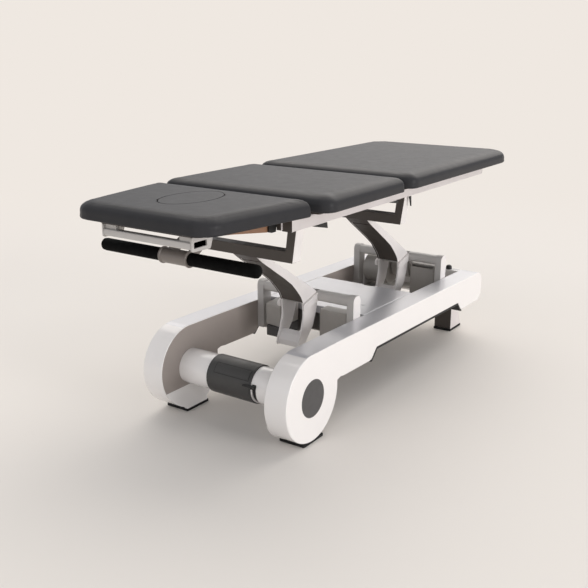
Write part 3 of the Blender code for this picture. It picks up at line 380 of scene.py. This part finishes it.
def zinc_steel():
    """Bright zinc-plated steel with fine turning lines: a cool grey metal with soft streaks."""
    material, tree, place = start_material("zinc_plated_steel")
    stretched = add(tree, "ShaderNodeMapping", {"Vector": place, "Scale": (1.0, 14.0, 1.0)})
    lines = add(tree, "ShaderNodeTexNoise", {
        "Vector": stretched.outputs[0], "Scale": cell(8 * MM), "Detail": 4.0,
    })
    bump = add(tree, "ShaderNodeBump", {"Height": lines.outputs["Fac"], "Distance": 0.02 * MM})
    close_material(tree, {
        "Base Color": drifting(tree, place, linear("#B4B2AE"), 0.05, 25 * MM),
        "Roughness": drifting_gloss(tree, place, 0.34, 0.06, 10 * MM),
        "Metallic": 1.0,
        "Normal": bump.outputs[0],
    })
    return material


def thermoformed_shell(tint):
    """Thermoformed ABS with a gloss film: near white, with the slow ripple of a drawn sheet."""
    return coated("thermoformed_abs_shell", tint, 0.2, 26 * MM, 0.04 * MM, spread=0.01, patch=0.3,
                  drift=0.03, coat_weight=0.6, coat_roughness=0.1)


def pearl_lacquer(tint):
    """Pearl lacquer on sheet: a silvery white that mirrors what stands on it, softly and stretched."""
    return coated("pearl_lacquer", tint, 0.32, 60 * MM, 0.004 * MM, spread=0.01, patch=0.4, drift=0.03,
                  metallic=0.3, coat_weight=0.4, coat_roughness=0.22)


def powder_coat(name, tint, roughness=0.4):
    """Powder coat on steel: a fine orange peel, drawn at 1.8 mm, with slight handling marks in its gloss."""
    return coated(name, tint, roughness, 1.8 * MM, 0.035 * MM, spread=0.03, patch=0.09, drift=0.05)


def moulded_plastic(name, tint, roughness=0.5):
    """Injection-moulded ABS with a spark-eroded grain, drawn at 1.3 mm: even, with no mirror shine."""
    return coated(name, tint, roughness, 1.3 * MM, 0.05 * MM, spread=0.04, patch=0.06, drift=0.05)


def moulded_rubber(tint):
    """Moulded rubber: matt, with dust in its grain."""
    return coated("moulded_rubber", tint, 0.82, 2.0 * MM, 0.10 * MM, spread=0.18, patch=0.02, drift=0.06)


FINISHES = {}


def finish(name):
    """The named finish, made on its first use."""
    if name in FINISHES:
        return FINISHES[name]
    tints = bpy.context.scene.table_colours
    makers = {
        "vinyl": lambda: pvc_upholstery(tints.vinyl),
        "shell": lambda: thermoformed_shell(tints.shell),
        # Painted shade on the covers' inner walls
        "inside": lambda: coated("inner_wall_painted_shade", tints.inside, 0.5, 3.0 * MM, 0.05 * MM, spread=0.03),
        "pearl": lambda: pearl_lacquer(tints.pearl),
        "rail": lambda: powder_coat("pale_grey_powder_coat", tints.rail, 0.34),
        "bronze": lambda: powder_coat("bronze_powder_coat", tints.bronze, 0.42),
        "sleeve": lambda: powder_coat("hammered_powder_coat", tints.sleeve, 0.36),
        "white": lambda: powder_coat("white_powder_coat", tints.white, 0.34),
        "grey": lambda: powder_coat("grey_powder_coat", tints.grey),
        # Painted shade for faces that turn from the light, made as a powder coat
        "painted_shade": lambda: powder_coat("umber_painted_shade", tints.painted_shade, 0.42),
        "black": lambda: moulded_plastic("black_moulded_abs", tints.black),
        "charcoal": lambda: moulded_plastic("charcoal_moulded_abs", tints.charcoal, 0.46),
        "graphite": lambda: moulded_plastic("graphite_moulded_abs", tints.graphite, 0.46),
        "drive": lambda: moulded_plastic("grey_moulded_housing", tints.drive, 0.42),
        "rubber": lambda: moulded_rubber(tints.rubber),
        "foam": lambda: foam_grip(tints.foam),
        "wood": lambda: layered_plywood(tints.wood),
        "steel": zinc_steel,
    }
    FINISHES[name] = makers[name]()
    return FINISHES[name]


# Pieces

def link(name, bm, material, body):
    """A finished piece from a bmesh, riding on its body."""
    mesh = bpy.data.meshes.new(name)
    bm.to_mesh(mesh)
    bm.free()
    mesh.shade_smooth()
    mesh.materials.append(material)
    obj = bpy.data.objects.new(name, mesh)
    bpy.context.scene.collection.objects.link(obj)
    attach(obj, body)
    return obj


def even_normals(obj):
    """Keeps flat faces flat beside small rounded edges."""
    obj.modifiers.new("even_normals", "WEIGHTED_NORMAL").weight = 60
    return obj


def soften(obj, width, angle):
    """Rounded edges on a finished piece, where its faces meet at more than this many degrees."""
    modifier = obj.modifiers.new("broken_edges", "BEVEL")
    modifier.width = width
    modifier.segments = 2
    modifier.limit_method = "ANGLE"
    modifier.angle_limit = math.radians(angle)
    modifier.use_clamp_overlap = True
    modifier.miter_outer = "MITER_ARC"
    return even_normals(obj)


def break_edges(bm, edges, width, steps=2):
    """Rounds edges of a bmesh."""
    bmesh.ops.bevel(bm, geom=edges, offset=width, segments=steps, profile=0.5, affect="EDGES", material=-1)


def welded_copy(node):
    """A bmesh of a CAD node with its doubles merged."""
    bm = bmesh.new()
    bm.from_mesh(frame["nodes"][node].data)
    bmesh.ops.remove_doubles(bm, verts=bm.verts, dist=WELD)
    return bm


def paint(bm, rules):
    """Marks faces for further finishes: each rule is (look, test of the face's normal and middle)."""
    bm.normal_update()
    for index, (look, test) in enumerate(rules, 1):
        for face in bm.faces:
            if test(face.normal, face.calc_center_median()):
                face.material_index = index


def draw_in(bm, node, inset):
    """Draws the four sides of a CAD node's copy in by the same amount, about its middle."""
    low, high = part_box(node)
    for axis in (0, 1):
        middle = (low[axis] + high[axis]) / 2
        scale = 1 - 2 * inset / (high[axis] - low[axis])
        for vertex in bm.verts:
            vertex.co[axis] = middle + (vertex.co[axis] - middle) * scale


def skin(node, look, width=None, angle=SHARP_DEGREES, rules=(), inset=0.0):
    """A copy of a CAD node with rounded edges and its finishes, which stands for the node."""
    bm = welded_copy(node)
    bmesh.ops.dissolve_limit(bm, angle_limit=math.radians(FLAT_DEGREES), verts=bm.verts, edges=bm.edges)
    if inset:
        draw_in(bm, node, inset)
    paint(bm, rules)
    obj = link(node + "_skin", bm, finish(look), BODY[node])
    for other, _ in rules:
        obj.data.materials.append(finish(other))
    width = bpy.context.scene.table_sizes.edge if width is None else width
    if width:
        soften(obj, width, angle)
    else:
        even_normals(obj)
    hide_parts(node)


def faces_side(normal, middle):
    """A face that looks out to the table's near or far side."""
    return abs(normal.y) > 0.9 and normal.y * middle.y > 0


def faces_head(normal, middle):
    """A face that looks towards the head end; on the rear feet these faces get painted shade."""
    return normal.x < -0.8


def under_arm(normal, middle):
    """The underside of a lift arm's cheeks, above the end of the belly, which gets painted shade."""
    return -0.6 * normal.x - 0.8 * normal.z > 0.35 and middle.z > BELLY_TOP


def faces_up(normal, middle):
    """A level face on top."""
    return normal.z > 0.98 and middle.z > LOWEST_TOP


def hinge_end(normal, middle):
    """The head end of a rail and the hinge ears on its inner face, which get painted shade."""
    return normal.x < -0.8 or abs(middle.y) < RAIL_INNER_FACE


def lug_face(normal, middle):
    """A face of a portal's lugs, which clasp the arm."""
    return LUG_SPAN[0] < abs(middle.y) < LUG_SPAN[1]


def inner_wall(normal, middle):
    """The wall of a side cover that looks in to the middle of the table, which gets painted shade."""
    return abs(normal.y) > 0.9 and normal.y * middle.y < 0


def arc(cx, cz, radius, start, end, steps):
    """Points on a circle from start to end, in degrees."""
    turns = [math.radians(start + (end - start) * i / steps) for i in range(steps + 1)]
    return [(cx + radius * math.cos(a), cz + radius * math.sin(a)) for a in turns]


def extruded(corners, shift):
    """A bmesh of a flat outline pushed out along Y into a solid."""
    bm = bmesh.new()
    face = bm.faces.new([bm.verts.new(corner) for corner in corners])
    grown = bmesh.ops.extrude_face_region(bm, geom=[face])
    moved = [v for v in grown["geom"] if isinstance(v, bmesh.types.BMVert)]
    bmesh.ops.translate(bm, vec=(0.0, shift, 0.0), verts=moved)
    bmesh.ops.recalc_face_normals(bm, faces=bm.faces)
    return bm


def plate(name, outline, y0, y1, body, width=0.0005):
    """A black plate with an (x, z) outline between two Y places, with broken edges."""
    bm = extruded([(x, y0, z) for x, z in outline], y1 - y0)
    break_edges(bm, bm.edges[:], width)
    even_normals(link(name, bm, finish("black"), body))


# Cushions

def apply_modifiers(obj):
    """Gives an object the mesh that its modifiers make, and drops the modifiers."""
    depsgraph = bpy.context.evaluated_depsgraph_get()
    made = bpy.data.meshes.new_from_object(obj.evaluated_get(depsgraph))
    old = obj.data
    obj.modifiers.clear()
    obj.data = made
    bpy.data.meshes.remove(old)


def inflate(obj, held_below, swell):
    """Blows the skin up by cloth simulation, and caps how far each point goes."""
    scene = bpy.context.scene
    start = [v.co.copy() for v in obj.data.vertices]
    group = obj.vertex_groups.new(name="held")
    group.add([v.index for v in obj.data.vertices if v.co.z < held_below], 1.0, "REPLACE")
    cloth = obj.modifiers.new("inflate", "CLOTH")
    cloth.settings.vertex_group_mass = "held"
    cloth.settings.use_pressure = True
    cloth.settings.uniform_pressure_force = PRESSURE
    cloth.settings.effector_weights.gravity = 0.0
    cloth.settings.quality = CLOTH_QUALITY
    cloth.point_cache.frame_start = 1
    cloth.point_cache.frame_end = LAST_FRAME
    for step in range(1, LAST_FRAME + 1):
        scene.frame_set(step)
    apply_modifiers(obj)
    scene.frame_set(1)
    for vertex, before in zip(obj.data.vertices, start):
        move = vertex.co - before
        if move.length > swell:
            vertex.co = before + move * (swell / move.length)
    obj.vertex_groups.clear()


def lens_mesh(name, rings):
    """A closed lens-shaped prism round the plug's middle, through (height, extra) rings."""
    middle = (PLUG_LOW + PLUG_HIGH) / 2
    half = (PLUG_HIGH - PLUG_LOW) / 2
    bm = bmesh.new()
    loops = []
    for height, extra in rings:
        ring = bmesh.ops.create_circle(bm, cap_ends=False, radius=1.0, segments=96)["verts"]
        for vertex in ring:
            x, y, _ = vertex.co
            vertex.co = (middle.x + x * (half.x + extra), y * (half.y + extra), height)
        loops.append(list({e for v in ring for e in v.link_edges}))
    for below, above in zip(loops, loops[1:]):
        bmesh.ops.bridge_loops(bm, edges=below + above)
    for ends in (loops[0], loops[-1]):
        bmesh.ops.contextual_create(bm, geom=ends)
    bmesh.ops.recalc_face_normals(bm, faces=bm.faces)
    mesh = bpy.data.meshes.new(name)
    bm.to_mesh(mesh)
    bm.free()
    return mesh


def upholster(node, grid, sizes, filled=False):
    """A cushion's skin: the foam's shape remeshed, drawn in slightly, blown up and smoothed.

    A filled cushion is made with its plug in it, so that one skin runs over both.
    """
    bm = welded_copy(node)
    if filled:
        filler = lens_mesh("filler", [(PLUG_LOW.z, FILL_MARGIN), (PLUG_HIGH.z, FILL_MARGIN)])
        bm.from_mesh(filler)
        bpy.data.meshes.remove(filler)
    obj = link(node + "_cover", bm, finish("vinyl"), BODY[node])
    remesh = obj.modifiers.new("even_grid", "REMESH")
    remesh.mode = "VOXEL"
    remesh.voxel_size = grid
    apply_modifiers(obj)
    lowest_row = min(v.co.z for v in obj.data.vertices) + grid
    bm = bmesh.new()
    bm.from_mesh(obj.data)
    bm.normal_update()
    for vertex in bm.verts:
        if vertex.co.z > lowest_row:
            vertex.co -= vertex.normal * sizes.cushion_shrink
    bm.to_mesh(obj.data)
    bm.free()
    inflate(obj, lowest_row, sizes.cushion_swell)
    bm = bmesh.new()
    bm.from_mesh(obj.data)
    for _ in range(SMOOTH_PASSES):
        bmesh.ops.smooth_vert(bm, verts=bm.verts, factor=0.5, use_axis_x=True, use_axis_y=True,
                              use_axis_z=True)
    bm.to_mesh(obj.data)
    bm.free()
    obj.data.shade_smooth()
    if not obj.data.materials:
        obj.data.materials.append(finish("vinyl"))
    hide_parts(node)
    return obj


def cut(obj, rings, operation):
    """Cuts a cushion with a lens-shaped prism, or keeps only what lies in it."""
    cutter = bpy.data.objects.new("lens_cutter", lens_mesh("lens_cutter", rings))
    bpy.context.scene.collection.objects.link(cutter)
    boolean = obj.modifiers.new("opening", "BOOLEAN")
    boolean.operation = operation
    boolean.solver = "EXACT"
    boolean.object = cutter
    apply_modifiers(obj)
    bpy.data.objects.remove(cutter)
    obj.data.set_sharp_from_angle(angle=math.radians(ROUND_DEGREES))


class TABLE_OT_cushions(bpy.types.Operator):
    """Upholster the head, middle and foot cushions and the plug of the face opening"""
    bl_idname = "table.cushions"
    bl_label = "Cushions"

    def execute(self, context):
        sizes = context.scene.table_sizes
        for node in ("middle_cushion", "foot_cushion"):
            upholster(node, sizes.cushion_grid, sizes)
        head = upholster("head_cushion", sizes.head_grid, sizes, filled=True)
        plug = bpy.data.objects.new("face_plug_cover", head.data.copy())
        context.scene.collection.objects.link(plug)
        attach(plug, BODY["face_plug"])
        top = max(v.co.z for v in head.data.vertices if abs(v.co.y) > PLUG_HIGH.y - 0.01)
        heights = (PLUG_LOW.z - SEAM_REACH, top - SEAM_DEPTH, top + SEAM_CREST, top + SEAM_REACH)
        cut(head, list(zip(heights, (SEAM_GAP, SEAM_GAP, SEAM_FLARE, SEAM_FLARE))), "DIFFERENCE")
        cut(plug, list(zip(heights, (0.0, 0.0, -PLUG_ROUND, -PLUG_ROUND))), "INTERSECT")
        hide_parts("face_plug")
        for label, x, y in TABS:
            self.tab(label, x, y, top)
        return {"FINISHED"}

    def tab(self, label, x, y, top):
        """A small pull tab sewn into the seam of the plug."""
        bm = bmesh.new()
        bmesh.ops.create_cube(bm, size=1.0)
        bmesh.ops.scale(bm, vec=TAB_SIZE, verts=bm.verts)
        break_edges(bm, bm.edges[:], TAB_EDGE)
        bmesh.ops.rotate(bm, matrix=Matrix.Rotation(math.radians(TAB_DEGREES), 3, "Z"), verts=bm.verts)
        bmesh.ops.translate(bm, vec=(x, y, top - TAB_SUNK), verts=bm.verts)
        even_normals(link("plug_tab_" + label, bm, finish("black"), BODY["face_plug"]))


class TABLE_OT_section_frames(bpy.types.Operator):
    """Finish the boards, the section frames and the head hinge"""
    bl_idname = "table.section_frames"
    bl_label = "Section frames"

    def execute(self, context):
        for node in ("head_board", "middle_board", "foot_board"):
            skin(node, "wood", inset=BOARD_INSET)
        for node in ("head_front_bar", "head_side_plate_near", "head_side_plate_far", "foot_frame"):
            skin(node, "grey")
        skin("head_frame", "grey", rules=[("bronze", faces_side)])
        for tag in SIDES:
            skin("head_hinge_plate_" + tag, "black")
        for node in ("head_hinge_pin", "foot_hinge_pin"):
            skin(node, "steel", 0.0003)
        return {"FINISHED"}


class TABLE_OT_handle(bpy.types.Operator):
    """Finish the pull handle with its foam grips"""
    bl_idname = "table.handle"
    bl_label = "Handle"

    def execute(self, context):
        skin("handle_tube", "steel")
        skin("handle_sleeve", "sleeve")
        for tag in SIDES:
            skin("grip_" + tag, "foam")
        return {"FINISHED"}


class TABLE_OT_upper_frame(bpy.types.Operator):
    """Finish the rails, rests and cross beams, with their bracket faces and stops"""
    bl_idname = "table.upper_frame"
    bl_label = "Upper frame"

    def execute(self, context):
        sizes = context.scene.table_sizes
        for tag in SIDES:
            # The rails' head ends and hinge ears get painted shade
            skin("rail_" + tag, "rail", rules=[("painted_shade", hinge_end)])
            skin("rail_plug_" + tag, "black", FINE_EDGE)
        for node in ("cushion_rest_front", "cushion_rest_rear"):
            skin(node, "grey")
        for label in ("front", "rear"):
            # The cross beams' colour is painted shade; the white bracket faces carry the paint's own colour
            skin("cross_beam_" + label, "painted_shade")
            self.bracket_faces(label, sizes.face_plate)
        for label, outline in STOPS.items():
            for tag, sign in SIDES.items():
                rail = sign * abs(RAIL_LOW.y)
                plate(f"rail_stop_{label}_{tag}", outline, rail - sign * STOP_OUTER, rail - sign * STOP_INNER,
                      "upper_frame")
        return {"FINISHED"}

    def bracket_faces(self, label, thick):
        """White faces on the outer sides of a beam's drop brackets."""
        low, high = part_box("cross_beam_" + label)
        left, right = low.x + BRACKET_SIDE, high.x - BRACKET_SIDE
        bottom, top = low.z + BRACKET_BELOW, high.z - BRACKET_ABOVE
        foot, head = BRACKET_FOOT + BRACKET_GAP, high.y + BRACKET_GAP
        for tag, sign in SIDES.items():
            bm = extruded([(left, sign * foot, bottom), (right, sign * foot, bottom),
                           (right, sign * head, top), (left, sign * head, top)], sign * thick)
            break_edges(bm, bm.edges[:], FINE_EDGE)
            even_normals(link(f"bracket_face_{label}_{tag}", bm, finish("white"), "upper_frame"))


class TABLE_OT_lift(bpy.types.Operator):
    """Finish the lift arms and the portals"""
    bl_idname = "table.lift"
    bl_label = "Lift arms and portals"

    def execute(self, context):
        for label in ("front", "rear"):
            # Painted shade under the arms' cheeks and on their bellies
            skin("arm_" + label, "white", rules=[("painted_shade", under_arm)])
            skin("arm_belly_" + label, "painted_shade", FINE_EDGE)
            # On the portals, grey is painted shade and the white sides and lugs carry the paint's own colour
            skin("portal_" + label, "grey", SOFT_EDGE, rules=[("white", faces_side), ("white", lug_face)])
        return {"FINISHED"}


class TABLE_OT_covers(bpy.types.Operator):
    """Finish the drum-ended side covers with their caps and seals"""
    bl_idname = "table.covers"
    bl_label = "Side covers"

    def execute(self, context):
        sizes = context.scene.table_sizes
        for tag, sign in SIDES.items():
            self.shell(tag, sign)
            skin("drum_cap_" + tag, "charcoal", SOFT_EDGE, ROUND_DEGREES)
            self.seal(tag, sign, sizes.trim)
        return {"FINISHED"}

    def shell(self, tag, sign):
        """A side cover on the frame's own outline, with finer rounds than the solid."""
        outline = arc(DRUM.x, DRUM.z, DRUM_RADIUS, 5, -270, 110)[:-1] + COVER_TOP
        outline += arc(REAR_END_X, REAR_END_UPPER, REAR_END_RADIUS, 80, 0, 14)
        outline += arc(REAR_END_X, REAR_END_LOWER, REAR_END_RADIUS, 0, -90, 14)
        outline += COVER_ARCH[::-1] + COVER_BELLY
        inner, outer = sign * abs(COVER_HIGH.y), sign * abs(COVER_LOW.y)
        bm = extruded([(x, inner, z) for x, z in outline], outer - inner)
        rims = [e for e in bm.edges if abs(e.verts[0].co.y - e.verts[1].co.y) < 1e-6]
        break_edges(bm, rims, COVER_RIM, steps=4)
        # The inner walls get painted shade
        paint(bm, [("inside", inner_wall), ("pearl", faces_up)])
        cover = link("side_cover_" + tag + "_shell", bm, finish("shell"), "base")
        cover.data.materials.append(finish("inside"))
        cover.data.materials.append(finish("pearl"))
        even_normals(cover)
        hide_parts("side_cover_" + tag)

    def seal(self, tag, sign, thick):
        """The black seal along the arched lower edge of a cover."""
        upper = [SEAL_FRONT] + COVER_ARCH
        lower = [(x - slip * thick, z - drop * thick) for (x, z), (slip, drop) in zip(upper, SEAL_DROPS)]
        outline = [(x, z - 0.1 * MM) for x, z in upper] + lower[::-1]
        y0 = sign * (abs(COVER_LOW.y) + 0.3 * MM)
        y1 = sign * (abs(COVER_HIGH.y) + 4.0 * MM)
        plate("cover_seal_" + tag, outline, y0, y1, "base", SOFT_EDGE)


class TABLE_OT_cylinder(bpy.types.Operator):
    """Finish the cross cylinder, its sleeve, hatch and slot lever"""
    bl_idname = "table.cylinder"
    bl_label = "Cross cylinder"

    def execute(self, context):
        skin("cross_cylinder", "shell", 0.0005, ROUND_DEGREES)
        skin("cylinder_sleeve", "graphite", 0.0005, ROUND_DEGREES)
        skin("sleeve_hatch", "graphite", FINE_EDGE, ROUND_DEGREES)
        skin("slot_lever", "black", SOFT_EDGE)
        floor = CYLINDER_RADIUS - SLOT_DEPTH
        self.strip("slot_lining", LINING_ACROSS, (floor, floor + LINING), LINING_TURN)
        seam = (SLEEVE_RADIUS - SEAM_SUNK, SLEEVE_RADIUS + SEAM_PROUD)
        for name, across, turn in SEAMS:
            self.strip("sleeve_seam_" + name, across, seam, turn)
        return {"FINISHED"}

    def strip(self, name, across, radii, turn):
        """A thin black band on the cylinder between two Y places, radii and angles."""
        start, end = (math.radians(-angle) for angle in turn)
        (inner, outer), (near, far) = radii, across
        bm = bmesh.new()
        corners = [(inner, near), (inner, far), (outer, far), (outer, near)]
        face = bm.faces.new([bm.verts.new((DRUM.x + r * math.cos(start), y, DRUM.z - r * math.sin(start)))
                             for r, y in corners])
        steps = max(2, int(abs(turn[1] - turn[0]) / STRIP_STEP))
        bmesh.ops.spin(bm, geom=[face], cent=DRUM, axis=(0, 1, 0), angle=end - start, steps=steps)
        bmesh.ops.remove_doubles(bm, verts=bm.verts, dist=1e-7)
        bmesh.ops.recalc_face_normals(bm, faces=bm.faces)
        even_normals(link(name, bm, finish("black"), "base"))


class TABLE_OT_base(bpy.types.Operator):
    """Finish the deck, the rear cover, the pan and the drives"""
    bl_idname = "table.base"
    bl_label = "Deck and drives"

    def execute(self, context):
        skin("deck", "pearl", 0.0)
        skin("rear_cover", "shell", 0.0)
        skin("rear_knob", "black", SOFT_EDGE, ROUND_DEGREES)
        skin("chassis_pan", "drive")
        for node in ("drive_front_far", "drive_front_near", "drive_rear_barrel", "drive_rear_near"):
            skin(node, "drive")
        skin("drive_front_far_base", "charcoal")
        skin("drive_rear_plate", "grey")
        return {"FINISHED"}


class TABLE_OT_feet(bpy.types.Operator):
    """Finish the feet and their rubber pads"""
    bl_idname = "table.feet"
    bl_label = "Feet"

    def execute(self, context):
        for tag in SIDES:
            skin("front_pad_" + tag, "rubber", PAD_EDGE)
            skin("rear_pad_" + tag, "rubber", PAD_EDGE)
            skin("front_foot_" + tag, "shell", SOFT_EDGE, ROUND_DEGREES)
            # The rear feet's head faces get painted shade
            skin("rear_foot_" + tag, "rail", PAD_EDGE, rules=[("painted_shade", faces_head)])
        return {"FINISHED"}


# Stage

def direction(heading, height):
    """The direction at a heading from +Y towards +X and a height above the horizon, in degrees."""
    turn, tilt = math.radians(heading), math.radians(height)
    return Vector((math.cos(tilt) * math.sin(turn), math.cos(tilt) * math.cos(turn), math.sin(tilt)))


class TABLE_OT_stage(bpy.types.Operator):
    """Set up the pale floor, the soft light and the camera"""
    bl_idname = "table.stage"
    bl_label = "Studio stage"

    def execute(self, context):
        scene = context.scene
        scene.view_settings.view_transform = "Standard"
        scene.view_settings.look = "None"
        tint = scene.table_colours.floor
        self.light_world(scene, tint)
        self.lay_floor(scene, tint)
        for name, heading, height, spread, strength, light in SUNS:
            lamp = bpy.data.lights.new(name, "SUN")
            lamp.energy = strength
            lamp.color = linear(light)[:3]
            lamp.angle = math.radians(spread)
            obj = bpy.data.objects.new(name, lamp)
            obj.rotation_euler = direction(heading, height).to_track_quat("Z", "Y").to_euler()
            scene.collection.objects.link(obj)
        self.place_camera(scene)
        return {"FINISHED"}

    def light_world(self, scene, tint):
        """A pale surround that shows bright and lights the object more softly."""
        world = bpy.data.worlds.new("pale_studio")
        world.use_nodes = True
        tree = world.node_tree
        tree.nodes.clear()
        path = add(tree, "ShaderNodeLightPath")
        level = add(tree, "ShaderNodeMapRange", {
            "Value": path.outputs["Is Camera Ray"], "To Min": AMBIENT, "To Max": 1.0,
        })
        hue = add(tree, "ShaderNodeMix", {
            0: path.outputs["Is Camera Ray"], 6: linear(SURROUND_TINT), 7: tuple(tint),
        }, data_type="RGBA")
        glow = add(tree, "ShaderNodeBackground", {"Color": hue.outputs[2], "Strength": level.outputs[0]})
        add(tree, "ShaderNodeOutputWorld", {"Surface": glow.outputs[0]})
        scene.world = world

    def lay_floor(self, scene, tint):
        """A wide disc that fades into the surround, so that no horizon shows."""
        bm = bmesh.new()
        bmesh.ops.create_circle(bm, cap_ends=True, radius=FLOOR_RADIUS, segments=96)
        mesh = bpy.data.meshes.new("floor")
        bm.to_mesh(mesh)
        bm.free()
        floor = bpy.data.objects.new("floor", mesh)
        scene.collection.objects.link(floor)
        material, tree, place = start_material("matt_studio_floor")
        reach = add(tree, "ShaderNodeVectorMath", {0: place}, operation="LENGTH").outputs["Value"]
        fade = add(tree, "ShaderNodeMapRange", {
            "Value": reach, "From Min": FADE_START, "From Max": FADE_END, "To Min": 0.0, "To Max": 1.0,
        }, interpolation_type="SMOOTHSTEP")
        matt = add(tree, "ShaderNodeBsdfPrincipled", {
            "Base Color": linear(FLOOR_TINT), "Roughness": 0.7, "Specular IOR Level": 0.2,
        })
        glow = add(tree, "ShaderNodeEmission", {"Color": tuple(tint)})
        mix = add(tree, "ShaderNodeMixShader", {0: fade.outputs[0], 1: matt.outputs[0], 2: glow.outputs[0]})
        add(tree, "ShaderNodeOutputMaterial", {"Surface": mix.outputs[0]})
        mesh.materials.append(material)

    def place_camera(self, scene):
        lens = bpy.data.cameras.new("camera")
        lens.sensor_width = SENSOR_WIDTH
        lens.lens = SENSOR_WIDTH * FOCAL_PIXELS / PICTURE_PIXELS
        camera = bpy.data.objects.new("camera", lens)
        camera.location = CAMERA_PLACE
        forward = direction(CAMERA_HEADING, -CAMERA_PITCH)
        camera.rotation_euler = forward.to_track_quat("-Z", "Y").to_euler()
        scene.collection.objects.link(camera)
        scene.camera = camera


# Add-on

class TABLE_PT_panel(bpy.types.Panel):
    """Buttons for the table's pieces, and its sizes and colours"""
    bl_idname = "TABLE_PT_panel"
    bl_label = "Treatment Table"
    bl_space_type = "VIEW_3D"
    bl_region_type = "UI"
    bl_category = "Table"

    def draw(self, context):
        layout = self.layout
        for kind in PIECES:
            layout.operator(kind.bl_idname)
        for group in (context.scene.table_sizes, context.scene.table_colours):
            for key in group.__annotations__:
                layout.prop(group, key)


PIECES = (TABLE_OT_cushions, TABLE_OT_section_frames, TABLE_OT_handle, TABLE_OT_upper_frame,
          TABLE_OT_lift, TABLE_OT_covers, TABLE_OT_cylinder, TABLE_OT_base, TABLE_OT_feet, TABLE_OT_stage)
CLASSES = (TableSizes, TableColours, *PIECES, TABLE_PT_panel)


def register():
    for kind in CLASSES:
        bpy.utils.register_class(kind)
    bpy.types.Scene.table_sizes = PointerProperty(type=TableSizes)
    bpy.types.Scene.table_colours = PointerProperty(type=TableColours)


def unregister():
    del bpy.types.Scene.table_colours
    del bpy.types.Scene.table_sizes
    for kind in reversed(CLASSES):
        bpy.utils.unregister_class(kind)


def main():
    register()
    table = bpy.ops.table
    for build in (table.cushions, table.section_frames, table.handle, table.upper_frame, table.lift,
                  table.covers, table.cylinder, table.base, table.feet, table.stage):
        build()


if __name__ == "__main__":
    main()
